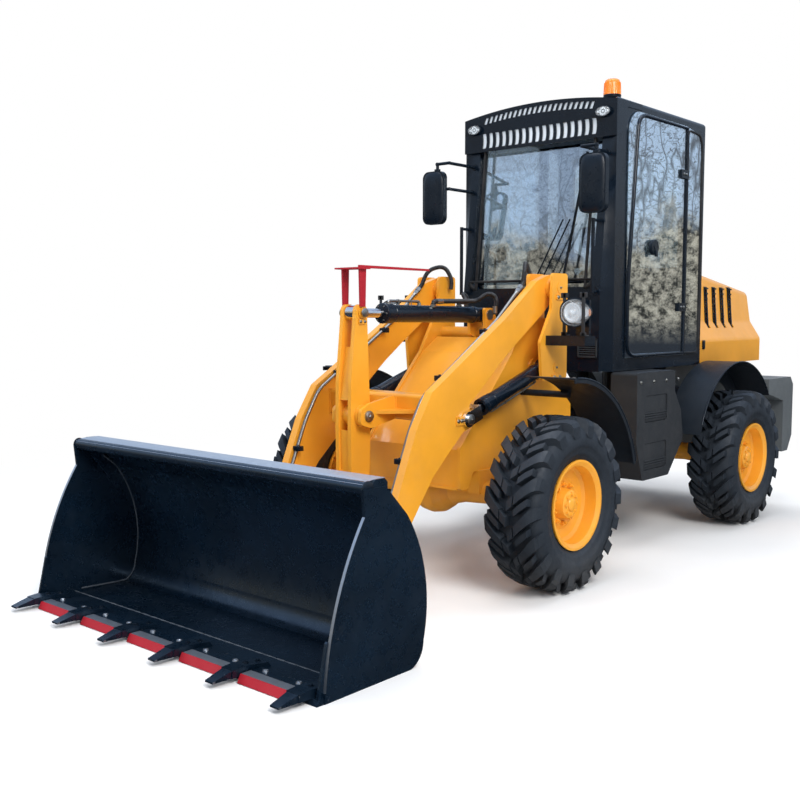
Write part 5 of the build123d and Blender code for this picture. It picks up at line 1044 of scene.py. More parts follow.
    def build(self) -> None:
        """Builds the boom's pieces."""
        self.lines()
        self.locks()
        self.welds()
        self.crank()


@dataclass
class CylinderTrim:
    """Collars, pipes and hose loops of the hydraulic cylinders."""

    base: Pair
    eye: Pair
    radius: float
    gland: float
    y: float
    body: str
    name: str

    @property
    def along(self) -> Vector:
        """Returns: the direction from base to eye."""
        return Vector((self.eye[0] - self.base[0], 0, self.eye[1] - self.base[1])).normalized()

    def at(self, distance: float, up: float = 0.0, side: float = 0.0) -> Vector:
        """Args: distance: along the cylinder; up: above its axis; side: to the left. Returns: the point."""
        along = self.along
        normal = Vector((-along.z, 0, along.x))
        return Vector((self.base[0], self.y + side, self.base[1])) + along * distance + normal * up

    def collars(self) -> None:
        """Gland ring with bolts, wiper and base weld."""
        gland, r, start = self.gland, self.radius, self.at(0)
        collar = Form().turned(start, self.along, [
            (gland - 0.012, r + 0.0078), (gland - 0.002, r + 0.0078), (gland + 0.003, r + 0.005),
            (gland + 0.010, r * 0.75),
        ])
        for place in (0.105, gland - 0.080):
            hoop = [(place - 0.004, r + 0.0005), (place, r + 0.0035), (place + 0.004, r + 0.0005)]
            collar.turned(start, self.along, hoop)
        collar.put(self.name + "_collars", BLACK, self.body)
        reach = r * 0.86
        screw = Form().rod((reach, 0, gland + 0.004), (reach, 0, gland + 0.012), 0.005, 0.0045, 12)
        turn = self.along.to_track_quat("Z", "Y").to_matrix().to_4x4()
        bmesh.ops.transform(screw.mesh, matrix=turn, verts=screw.mesh.verts)
        RINGS.put(screw, ZINC, self.name + "_gland_screws", self.body, tuple(start), self.along, 6)

    def pipe(self, up: float, start: float, end: float, size: float = 0.0065) -> None:
        """The pipe from base to gland. Args: up: its height off the axis; start, end: its ends; size: its
        radius."""
        off = math.copysign(self.radius - 0.002, up)
        corners = [self.at(start, off), self.at(start, up), self.at(end, up), self.at(end, off)]
        form = Form().tube(rounded(corners, 0.02), size)
        for place in (start, end):
            form.rod(self.at(place, off), self.at(place, off + math.copysign(0.016, up)), 0.0125, sides=6)
        low, high = sorted((off * 0.99, up + math.copysign(size, up)))
        strap = ((low, -0.010), (high, -0.010), (high, 0.010), (low, 0.010))
        for share in (0.3, 0.7):
            place = start + (end - start) * share
            form.tube([self.at(place, rise, side) for rise, side in strap], 0.003, 6)
        form.put(self.name + "_pipe", ZINC, self.body)

    def loops(self) -> None:
        """Hoses that loop over the base with swaged ends."""
        hoses, ends = Form(), Form()
        (x, z), r = self.base, self.radius
        for s, reach in ((1, 0.52), (-1, 0.19)):
            y, top, far = s * 0.03, z + r + 0.03, x + reach
            hoses.ribbed([
                (far, y, z + r - 0.004), (far, y, top), (x + 0.09, y * 1.4, top + 0.006),
                (x + 0.06, s * 0.104, top + 0.06), (x - 0.02, s * 0.118, top + 0.03), (x, s * 0.118, z),
            ], 0.05)
            ends.rod((far, y, z + r - 0.006), (far, y, z + r + 0.012), 0.019, sides=6)
            ends.rod((far - 0.03, y, top), (far - 0.085, y, top), 0.0165)
            ends.rod((x, s * 0.118, z + 0.01), (x, s * 0.118, z + 0.055), 0.0165)
        hoses.put("tilt_hoses", HOSE, self.body, ["tilt_lines"])
        ends.put("tilt_hose_ends", ZINC, self.body, ["tilt_lines"])


@dataclass
class FrontTrim:
    """Lock plates on the towers, lamps and mudguard fasteners of the front frame."""

    tower_face: float = 0.5455
    lamp_y: float = 0.750
    lamp_z: float = 1.580
    wheel_x: float = 0.675
    body: str = "front_body"

    def locks(self) -> None:
        """Slotted plates that keep the hinge and lift pins."""
        plates, bolts = Form(), Form()
        for s in SIGNS:
            out, face = Axis.Y.vector * s, s * self.tower_face
            for x, z in ((0.148, 1.735), (0.185, 1.240)):
                low, high = z - 0.075, z - 0.044
                outline = [(x - 0.050, low), (x + 0.050, low), (x + 0.050, high), (x - 0.050, high)]
                plates.plate(outline, face, face + s * 0.009)
                for dx in (-0.032, 0.032):
                    bolts.bolt((x + dx, face + s * 0.009, z - 0.060), out, 0.009)
                bolts.rod((x, face + s * 0.004, z), (x, face + s * 0.013, z), 0.007, 0.005, 12)
        plates.put("tower_locks", YELLOW, self.body)
        bolts.put("tower_bolts", ZINC, self.body)

    def lamps(self) -> None:
        """Each headlight: black bowl, bright reflector, round lens, amber segment, inner bowls with painted
        glow.
        """
        z = self.lamp_z
        shell = [
            (0.218, 0.070, 0.058), (0.262, 0.094, 0.074), (0.290, 0.112, 0.086), (0.297, 0.114, 0.088),
            (0.299, 0.110, 0.084), (0.292, 0.105, 0.079), (0.250, 0.070, 0.056),
        ]
        mirror = [(0.252, 0.060, 0.046), (0.268, 0.092, 0.070), (0.2925, 0.1045, 0.0785)]
        lens = [
            (0.293, 0.107, 0.081), (0.301, 0.104, 0.078), (0.308, 0.088, 0.066), (0.3125, 0.055, 0.042),
            (0.3140, 0.012, 0.009),
        ]
        main = [
            (0.0, 0.064), (0.022, 0.060), (0.025, 0.052), (0.006, 0.036), (0.004, 0.018), (0.030, 0.014),
            (0.036, 0.006),
        ]
        small = [(0.0, 0.034), (0.014, 0.030), (0.016, 0.026), (0.003, 0.016), (0.002, 0.004)]
        shells, mirrors, lenses, ambers, glowing_bowls = Form(), Form(), Form(), Form(), Form()
        for s in SIGNS:
            y = s * self.lamp_y
            for form, rows, caps in ((shells, shell, True), (mirrors, mirror, False), (lenses, lens, False)):
                form.skin(ovals((y, z), rows, (0.85, 0.8), taper=0.50, s=s), caps=caps)
            glowing_bowls.turned((0.258, y - s * 0.036, z), Axis.X.vector, main, 36)
            glowing_bowls.turned((0.262, y + s * 0.048, z), Axis.X.vector, small, 28)
            ambers.box((0.270, y + s * 0.080, z - 0.022), (0.284, y + s * 0.094, z + 0.022), 0.006)
        for name, form, finish in (
            ("lamp_shells", shells, SATIN), ("lamp_reflectors", mirrors, MIRROR), ("lamp_bowls", glowing_bowls, GLOWING_BOWL),
            ("lamp_turn_signals", ambers, AMBER), ("lamp_lenses", lenses, CLEAR),
        ):
            form.put(name, finish, self.body, ["headlights"])

    def guards(self) -> None:
        """Two upright guards in front of each headlight, with their feet."""
        form = Form()
        for s in SIGNS:
            for y, front in ((s * 0.632, 0.238), (s * 0.812, 0.317)):
                for half, low, high in ((0.011, 1.440, 1.700), (0.025, 1.668, 1.700), (0.020, 1.440, 1.462)):
                    form.box((front - 0.008, y - half, low), (front, y + half, high), 0.003)
                form.box((front - 0.040, y - 0.020, 1.440), (front, y + 0.020, 1.447), 0.002)
        form.put("lamp_guards", MOULD, self.body)

    def mudguards(self) -> None:
        """Edge beads and bolt heads of the front mudguards."""
        beads, bolts = Form(), Form()
        for s in SIGNS:
            beads.tube(arch(self.wheel_x, s * 0.9965, 90, 167), 0.0065, 10)
            for angle in (100, 118, 136, 154):
                t = math.radians(angle)
                out = Vector((math.cos(t), 0, math.sin(t)))
                seat = Vector((self.wheel_x, s * 0.90, AXLE_Z)) + out * (GUARD_RADIUS + 0.0017)
                bolts.bolt(seat, out, 0.010, 0.007)
        beads.put("front_guard_beads", SATIN, self.body)
        bolts.put("front_guard_bolts", ZINC, self.body)

    def build(self) -> None:
        """Builds the front frame's pieces."""
        self.locks()
        self.lamps()
        self.guards()
        self.mudguards()


@dataclass
class CabTrim:
    """Seals, wipers, lamps, slots, mirrors and beacon of the cab."""

    nose_x: float = -0.310
    foot_z: float = 1.750
    head_z: float = 2.850
    lean: float = 0.130
    rise: float = 1.175
    half: float = 0.614
    cheek_x: float = -0.400
    visor_half: float = 0.620
    brow_z: float = 2.965
    brow_rise: float = 0.055
    lamp: Pair = (0.524, 2.890)
    lamp_half: Pair = (0.062, 0.036)
    body: str = "rear_body"

    def face(self, z: float, off: float, y: float) -> Point:
        """Args: z, y: a place on the cab's leaning front; off: how far ahead of it. Returns: the point."""
        return (self.nose_x - self.lean * max(0.0, (z - self.foot_z) / self.rise) + off, y, z)

    def seals(self) -> None:
        """Rubber around the windscreen and the side panes."""
        loop = []
        middle, bend = 2.3, 0.05
        for y, z in ((0.5, self.foot_z), (0.5, self.head_z), (-0.5, self.head_z), (-0.5, self.foot_z)):
            cy, cz = math.copysign(0.45, y), z + math.copysign(bend, middle - z)
            for a in (0.0, 0.25, 0.5, 0.75, 1.0):
                turn = (1 - a if (y < 0) ^ (z > middle) else a) * math.pi / 2
                dy, dz = bend * math.cos(turn), bend * math.sin(turn)
                loop.append((cy + math.copysign(dy, y), cz - math.copysign(dz, middle - z)))
        rubber = Form().tube([self.face(z, 0.003, y) for y, z in loop], 0.014, 12, closed=True)
        rubber.put("screen_seal", SEAL, self.body)
        quarter = Form()
        pane = [(-1.430, 1.285), (-1.430, 2.900), (-1.635, 2.885), (-1.668, 2.79), (-1.668, 1.285)]
        pane.append(pane[0])
        for s in SIGNS:
            quarter.tube(rounded([(x, s * (self.half + 0.0075), z) for x, z in pane], 0.05), 0.008, 8)
        quarter.put("quarter_seals", SEAL, self.body)

    def doors(self) -> None:
        """Tube surround, inner pull, latch and hinge bolts of each door."""
        outline = [(-1.400, 1.288), (-0.562, 1.288), (-0.562, 1.75), (-0.675, 2.905), (-1.400, 2.905)]
        knob = [
            (-0.020, 0.054), (0.0, 0.052), (0.001, 0.040), (-0.006, 0.034), (-0.006, 0.020), (0.004, 0.018),
        ]
        for side in Side:
            s, body = side.value, f"{side.word}_door"
            out = Axis.Y.vector * s
            surround, latch, bolts = Form(), Form(), Form()
            route = rounded([(x, s * (self.half + 0.012), z) for x, z in outline], 0.11, 8)
            surround.tube(route, 0.013, 12, closed=True).put(body + "_seal", BLACK, body, slot="plastic")
            inside = s * (self.half + 0.002)
            pull = [(0.0, 1.62), (0.05, 1.64), (0.05, 2.02), (0.0, 2.04)]
            latch.tube(rounded([(-0.70, inside - s * dy, z) for dy, z in pull], 0.03), 0.010, 12)
            latch.turned((-0.890, s * 0.655, 2.030), out, knob, 36)
            latch.box((-0.905, s * 0.655, 1.965), (-0.875, s * 0.668, 2.010), 0.004)
            latch.put(body + "_pull", SATIN, body)
            for x, z in ((x, z) for z in (1.620, 2.575) for x in (-1.375, -1.335)):
                bolts.turned((x, s * 0.641, z), out, [(-0.001, 0.011), (0.004, 0.010), (0.006, 0.006)], 20)
            bolts.put(f"{side.word}_hinge_bolts", ZINC, body)

    def wipers(self) -> None:
        """The two arms and the blade of the windscreen wiper."""
        metal, rubber = Form(), Form()
        for dy in (0.0, 0.055):
            foot, top = (0.02 + dy, 1.705), (0.26 + dy, 2.205)
            metal.tube([self.face(z, 0.030, y) for y, z in (foot, top)], 0.0055, 8)
            metal.rod((self.nose_x - 0.002, *foot), (self.nose_x + 0.036, *foot), 0.013, 0.011)
        blade = [(0.285 + 0.12 * t, 1.805 + 0.84 * t) for t in (0.0, 0.25, 0.5, 0.75, 1.0)]
        metal.tube([self.face(z, 0.026, y) for y, z in blade], 0.005, 8)
        section = ((0.020, -0.002), (0.020, 0.002), (0.002, 0.001), (0.002, -0.001))
        rubber.skin([[Vector(self.face(z, off, y + dy)) for off, dy in section] for y, z in blade])
        for t in (0.2, 0.8):
            y, z = 0.285 + 0.12 * t, 1.805 + 0.84 * t
            x = self.face(z, 0.0, y)[0]
            metal.box((x + 0.018, y - 0.006, z - 0.012), (x + 0.030, y + 0.006, z + 0.012), 0.002)
        metal.put("wiper_arms", SATIN, self.body)
        rubber.put("wiper_blade", SEAL, self.body)

    def vents(self) -> None:
        """A framed air grille on the front panel at each side."""
        x, rim = self.nose_x, Form()
        for s in SIGNS:
            low, high = sorted((s * 0.400, s * 0.550))
            for bottom in (1.280, 1.395):
                rim.box((x, low, bottom), (x + 0.010, high, bottom + 0.015), 0.003)
            for edge in (low, high - 0.012):
                rim.box((x, edge, 1.280), (x + 0.010, edge + 0.012, 1.410), 0.003)
        rim.put("vent_frames", MOULD, self.body)
        fin = Form().plate([(0.0, 0.0), (0.008, -0.006), (0.0095, -0.005), (0.0015, 0.002)], -0.064, 0.064)
        start, step, over = (x + 0.0003, 0.475, 1.310), (0, 0, 0.0142), (0, -0.95, 0)
        GRIDS.put(fin, MOULD, "vent_fins", self.body, start, step, 6, across=over, rows=2)

    def roof(self) -> None:
        """Oval roof lamps with rings of diodes."""
        y, z = self.lamp
        nodes = ["roof_lamps"]
        shell = [(-0.3895, 0.90), (-0.380, 1.0), (-0.3665, 0.98), (-0.3660, 0.90), (-0.374, 0.86)]
        for name, finish, rows in (
            ("roof_lamp_shells", SATIN, shell),
            ("roof_lamp_backs", MIRROR, [(-0.3745, 0.85), (-0.3740, 0.80)]),
            ("roof_lamp_lenses", CLEAR, [(-0.3700, 0.88), (-0.3670, 0.80), (-0.3662, 0.40)]),
        ):
            wide, high = self.lamp_half
            form, rings = Form(), [(at, wide * grow, high * grow) for at, grow in rows]
            for s in SIGNS:
                form.skin(ovals((s * y, z), rings))
            form.put(name, finish, self.body, nodes)
        for side in Side:
            name, at = f"{side.word}_roof_diodes", (-0.3738, side.value * y, z)
            ring = Form().rod((0, 0, 0.021), (0.004, 0, 0.021), 0.0072, 0.0050, 12)
            RINGS.put(ring, LED, name, self.body, at, Axis.X.vector, 10, nodes)
            row, start = Form().rod((0, 0, 0), (0.004, 0, 0), 0.0085, 0.006, 12), (at[0], at[1] - 0.036, z)
            GRIDS.put(row, LED, name + "_row", self.body, start, (0, 0.036, 0), 3, nodes=nodes)

    def beacon(self) -> None:
        """The beacon's foot, dome and ribs."""
        at, z = (-0.675, 0.420, 0.0), 2.985
        foot = [
            (0.0, 0.040), (0.010, 0.040), (0.012, 0.024), (0.040, 0.024), (0.048, 0.058), (0.066, 0.0605),
            (0.070, 0.058),
        ]
        dome = [
            (0.068, 0.0585), (0.120, 0.0560), (0.150, 0.0530), (0.166, 0.0480), (0.173, 0.038),
            (0.175, 0.015),
        ]
        for name, finish, profile in (("beacon_base", SATIN, foot), ("beacon_dome", AMBER, dome)):
            form = Form().turned(at, UP, [(z + rise, radius) for rise, radius in profile])
            form.put(name, finish, self.body, ["beacon"])
        outline = [(0.0560, 0.070), (0.0600, 0.072), (0.0560, 0.150), (0.0525, 0.150)]
        rib = Form().plate([(x, z + rise) for x, rise in outline], -0.0012, 0.0012)
        RINGS.put(rib, AMBER, "beacon_ribs", self.body, at, UP, 28, ["beacon"])

    def brow(self, y: float) -> float:
        """Args: y: place across. Returns: the height of the visor's arched edge."""
        return self.brow_z + self.brow_rise * (1 - (y / self.visor_half) ** 2)

    def arched(self, half: float, count: int, drop: float = 0.0) -> list[Pair]:
        """Args: half: half width; count: parts; drop: below the visor's edge. Returns: the arch's points."""
        places = [half * (1 - 2 * k / count) for k in range(count + 1)]
        return [(y, self.brow(y) - drop) for y in places]

    def visor(self) -> None:
        """The slotted visor with its cheeks, and a pale sheet behind the slots as a painted reflection of sky
        in the windscreen.
        """
        holes = []
        bulge = [math.pi * (k / 8 - 0.5) for k in range(9)]
        for index in range(17):
            y = (index - 8) * 0.056
            side = [(y + 0.010 * math.cos(a), 2.806 + 0.052 * math.sin(a)) for a in bulge]
            holes.append([(a + 0.013, b) for a, b in side] + [(a - 0.021, b) for a, b in reversed(side)])
        for index in range(22):
            y = (index - 10.5) * 0.041
            low, high = self.brow(y) - 0.072, self.brow(y) - 0.026
            holes.append([(y - 0.022, low), (y + 0.005, low), (y + 0.022, high), (y - 0.005, high)])
        half, reflection_plate_half = self.visor_half, 0.47
        outline = [(-half, 2.730), (half, 2.730), *self.arched(half, 32)]
        plate = Form().pierced(outline, holes, -0.400, -0.390)
        x, end = -0.399, self.cheek_x - 0.330
        cheek = [(x, 2.736), (x, 2.965), (end, 2.971), (end, 2.933), (end + 0.200, 2.929)]
        for s in SIGNS:
            plate.plate(cheek, s * (self.half + 0.001), s * (self.half + 0.006))
        plate.put("visor_plate", BLACK, self.body, ["roof_visor"])
        # Pale plate behind the slots: a painted reflection of the sky on the windscreen.
        inner = [(-reflection_plate_half, 2.745), (reflection_plate_half, 2.745), *self.arched(reflection_plate_half, 16, 0.012)]
        reflection_plate = Form().pierced(inner, [], -0.4045, -0.4025)
        reflection_plate.put("visor_lining", VISOR_REFLECTION_PLATE, self.body, ["roof_visor"])

    def mirrors(self) -> None:
        """Glass, rims and clamps of the two mirrors."""
        z, square = 2.390, (0.45, 0.45)
        pane = [(-0.0912, 0.082, 0.170), (-0.0918, 0.081, 0.169)]
        back = [
            (-0.051, 0.088, 0.178), (-0.044, 0.082, 0.172), (-0.036, 0.060, 0.140), (-0.0335, 0.020, 0.060),
        ]
        glass, rims = Form(), Form()
        for y in (0.642, -0.642):
            glass.skin(ovals((y, z), pane, square, 36))
            rims.skin(ovals((y, z), back, square, 36))
            for up in (z + 0.075, z + 0.190):
                rims.box((-0.112, y - 0.020, up - 0.016), (-0.088, y + 0.020, up + 0.016), 0.004)
        glass.put("mirror_glass", MIRROR, self.body)
        rims.put("mirror_backs", SATIN, self.body)

    def feet(self) -> None:
        """The feet of the grab rails and of the mirrors' arms."""
        form = Form()
        rail, arm = (0.538, 0.008, 0.026, 0.022), (0.540, 0.010, 0.024, 0.020)
        for s in SIGNS:
            for z, (y, long, *radii) in ((1.720, rail), (2.180, rail), (2.450, arm), (2.630, arm)):
                form.rod(self.face(z, -0.001, s * y), self.face(z, long, s * y), *radii)
        form.put("rail_feet", BLACK, self.body)

    def build(self) -> None:
        """Builds the cab's outer pieces."""
        self.seals()
        self.doors()
        self.wipers()
        self.vents()
        self.roof()
        self.beacon()
        self.visor()
        self.mirrors()
        self.feet()


@dataclass
class Cushion:
    """One stuffed block, blown up by a short cloth run."""

    name: str
    low: Point
    high: Point
    lean: float = 0.0
    inset: float = 0.012
    cap: float = 0.014
    voxel: float = 0.006
    frames: int = 20
    pressure: float = 4.0
    fill: float = 0.8

    def blank(self) -> bpy.types.Object:
        """Returns: the slightly small starting block."""
        less = Vector((self.inset,) * 3)
        centre = (Vector(self.low) + Vector(self.high)) / 2
        form = Form().box(Vector(self.low) + less, Vector(self.high) - less, 0.028)
        if self.lean:
            turn = Matrix.Rotation(self.lean, 4, "Y")
            matrix = Matrix.Translation(centre) @ turn @ Matrix.Translation(-centre)
            bmesh.ops.transform(form.mesh, matrix=matrix, verts=form.mesh.verts)
        return form.make(self.name, FABRIC, 80)

    def puff(self, piece: bpy.types.Object) -> None:
        """Remeshes and inflates it, with each point's travel capped. Args: piece: the block."""
        remesh = piece.modifiers.new("remesh", "REMESH")
        remesh.mode, remesh.voxel_size = "VOXEL", self.voxel
        self.apply(piece)
        start = [v.co.copy() for v in piece.data.vertices]
        settings = piece.modifiers.new("cloth", "CLOTH").settings
        settings.use_pressure, settings.uniform_pressure_force = True, self.pressure
        settings.effector_weights.gravity = 0.0
        for step in range(1, self.frames + 1):
            bpy.context.scene.frame_set(step)
        self.apply(piece)
        bpy.context.scene.frame_set(1)
        for vertex, home in zip(piece.data.vertices, start):
            move = vertex.co - home
            vertex.co = home + move * min(1.0, self.cap / max(move.length, 1e-9))
        piece.modifiers.new("smooth", "SUBSURF").levels = 1
        self.apply(piece)

    @staticmethod
    def apply(piece: bpy.types.Object) -> None:
        """Makes a piece's modifiers its mesh. Args: piece: the object."""
        graph = bpy.context.evaluated_depsgraph_get()
        data = bpy.data.meshes.new_from_object(piece.evaluated_get(graph))
        piece.modifiers.clear()
        piece.data = data

    def build(self, body: str, nodes: Sequence[str]) -> None:
        """Args: body: what it rides on; nodes: the CAD nodes that it replaces."""
        piece = self.blank()
        self.puff(piece)
        piece.data.polygons.foreach_set("use_smooth", [True] * len(piece.data.polygons))
        settle(piece, body, nodes)


@dataclass
class CabInterior:
    """The operator's seat and the panel by the wheel."""

    body: str = "rear_body"

    def seat(self) -> None:
        """Suspension base, shell and cushions."""
        base = Form().box((-1.435, -0.16, 1.2155), (-1.115, 0.16, 1.27), 0.01)
        for index in range(5):
            z = 1.275 + 0.038 * index
            base.box((-1.425, -0.15, z), (-1.125, 0.15, z + 0.026), 0.012)
        base.box((-1.47, -0.20, 1.470), (-1.05, 0.20, 1.520), 0.014)
        base.plate([(-1.500, 1.66), (-1.470, 1.66), (-1.545, 2.17), (-1.562, 2.17)], -0.20, 0.20)
        for s in SIGNS:
            base.box((-1.44, s * 0.205, 1.745), (-1.16, s * 0.245, 1.785), 0.014)
            base.tube([(-1.42, s * 0.225, 1.745), (-1.44, s * 0.225, 1.55)], 0.012)
        base.put("seat_base", SATIN, self.body, ["seat"])
        pad = Cushion("seat_cushion", (-1.485, -0.24, 1.515), (-1.010, 0.24, 1.630))
        back = Cushion("seat_back", (-1.520, -0.225, 1.655), (-1.405, 0.225, 2.10), lean=-0.13)
        for cushion in (pad, back):
            cushion.build(self.body, ["seat"])

    def panel(self) -> None:
        """Dials on the column, a display on the pillar and grips on the levers."""
        panel, screen, grip = Form(), Form(), Form()
        hood = [(-0.655, 1.905), (-0.530, 1.865), (-0.520, 1.915), (-0.560, 2.000), (-0.640, 2.005)]
        panel.plate(hood, -0.16, 0.16)
        panel.box((-0.56, 0.30, 2.02), (-0.50, 0.48, 2.16), 0.012)
        panel.tube([(-0.53, 0.40, 2.03), (-0.50, 0.44, 1.80), (-0.46, 0.50, 1.74)], 0.012)
        screen.box((-0.5645, 0.315, 2.035), (-0.5605, 0.465, 2.145), 0.003)
        facing = Vector((-1, 0, 0.1)).normalized()
        for y in (-0.09, 0.0, 0.09):
            screen.turned((-0.642, y, 1.955), facing, [(0.0, 0.034), (0.006, 0.034), (0.007, 0.030)], 24)
        for y in (-0.36, -0.44):
            grip.tube([(-1.02, y, 1.83), (-0.99, y, 1.93)], 0.008)
            grip.turned((-0.99, y, 1.93), UP, [(0, 0.012), (0.02, 0.022), (0.06, 0.024), (0.075, 0.014)], 24)
        panel.put("dash_panel", SATIN, self.body)
        screen.put("dash_screens", SIDE_GLASS, self.body)
        grip.put("lever_grips", SATIN, self.body)

    def build(self) -> None:
        """Builds the cab's inner pieces."""
        self.seat()
        self.panel()


@dataclass
class BodyTrim:
    """Louvres, handles and strips of the hood, bolts and treads of the boxes and mudguards."""

    hood_front: float = -1.747
    box_front: float = -0.405
    wheel_x: float = -1.825
    body: str = "rear_body"
    lid: str = "hood_body"

    def hood(self) -> None:
        """Fins in the louvres, a dark sheet behind them as painted shade, a handle and a tail strip at each
        side.
        """
        backs, trims, tails, handles = Form(), Form(), Form(), Form()
        grip = [(-1.815, -0.02, 1.56), (-1.815, 0.022, 1.56), (-1.795, 0.018, 1.72), (-1.795, -0.02, 1.72)]
        for s in SIGNS:
            for index in range(4):
                x = self.hood_front - 0.330 - 0.150 * index
                # A near-black sheet just inside the fins: painted shade in the louvre openings.
                mesh = [(x - 0.012, 1.450), (x + 0.062, 1.450), (x + 0.034, 1.79), (x - 0.034, 1.79)]
                backs.plate(mesh, s * 0.470, s * 0.474)
                edge = [(x, 1.460), (x + 0.050, 1.460), (x + 0.020, 1.780), (x - 0.020, 1.780)]
                rim = [(px, s * (0.5110 - 0.040 * (pz - 1.51) / 0.38), pz) for px, pz in edge]
                trims.tube(rim, 0.008, 8, closed=True)
            tails.box((-1.90, s * 0.480, 1.800), (-1.765, s * 0.500, 1.822), 0.005)
            handles.tube(rounded([(x, s * (0.520 + dy), z) for x, dy, z in grip], 0.02), 0.008, 10)
            handles.box((-1.83, s * 0.600, 1.30), (-1.79, s * 0.612, 1.37), 0.008)
        backs.put("louvre_mesh", SEAL, self.lid)
        trims.put("louvre_rims", SATIN, self.lid)
        tails.put("tail_strips", TAIL, self.lid)
        handles.put("hood_handles", SATIN, self.lid)
        outline = [(-0.022, 0.0), (0.022, 0.0), (0.018, 0.012), (-0.026, 0.012)]
        start, step, over = (self.hood_front - 0.308, 0, 1.485), (-0.0035, 0, 0.040), (-0.150, 0, 0)
        for side in Side:
            fin = Form().plate(outline, side.value * 0.474, side.value * 0.500)
            name = f"{side.word}_louvre_fins"
            GRIDS.put(fin, SATIN, name, self.lid, start, step, 8, across=over, rows=4)

    def boxes(self) -> None:
        """Bolts and treads of the side boxes, beads of the rear mudguards."""
        bead, fills, x = Form(), Form(), self.box_front
        for s in SIGNS:
            bead.tube(arch(self.wheel_x, s * 0.8965, 24, 143), 0.0065, 10)
            for z in (0.620, 0.940):
                fills.box((x - 0.430, s * 0.735, z - 0.089), (x - 0.110, s * 0.788, z + 0.089), 0.004)
                for at in (z - 0.060, z - 0.044, z - 0.028):
                    fills.box((x - 0.425, s * 0.786, at - 0.005), (x - 0.115, s * 0.7945, at + 0.005), 0.002)
        fills.put("box_step_treads", MOULD, self.body)
        bead.put("rear_guard_beads", SATIN, self.body)
        for side in Side:
            out, name = Axis.Y.vector * side.value, f"{side.word}_box_bolts"
            head = Form().bolt((0, side.value * 0.795, 0), out, 0.010, 0.006)
            GRIDS.put(head, ZINC, name, self.body, (-1.00, 0, 1.12), (0.18, 0, 0), 4)

    def build(self) -> None:
        """Builds the rear body's pieces."""
        self.hood()
        self.boxes()


class CadLooks:
    """Gives every CAD node its finish."""

    finishes: dict[Finish, str] = {
        YELLOW: "rim axle front_frame lift_arms bell_crank tilt_link quick_hitch hood",
        BLACK: "cab_frame cab_roof roof_visor headlight_brackets barrel grab_rails",
        SATIN: "mirrors cab_controls door_fittings",
        SIDE_GLASS: "rear_window door_glass quarter_glass",
        ZINC: "pin pins boom_lines",
        BUCKET: "bucket bucket_teeth",
        ANTHRACITE: "engine_block counterweight",
        CLEAR: "headlights roof_lamps",
        TYRE: "tyre",
        RED: "level_indicator",
        CHASSIS: "rear_frame",
        MOULD: "side_box",
        PLASTIC: "fenders",
        CHROME: "rod",
        HOSE: "tilt_lines",
        GLASS: "windscreen",
        AMBER: "beacon",
        FABRIC: "seat",
    }

    def finish_of(self, node: str) -> Finish:
        """Args: node: a CAD node's name. Returns: the finish with the longest name that ends it."""
        found = {key: finish for finish, words in self.finishes.items() for key in words.split()}
        return found[max((key for key in found if node == key or node.endswith("_" + key)), key=len)]

    def apply(self, nodes: dict[str, bpy.types.Object]) -> None:
        """Args: nodes: the CAD objects by name."""
        for name, node in nodes.items():
            finish = self.finish_of(name)
            if not node.material_slots:
                node.data.materials.append(finish.material)
            for slot in node.material_slots:
                slot.material = finish.material


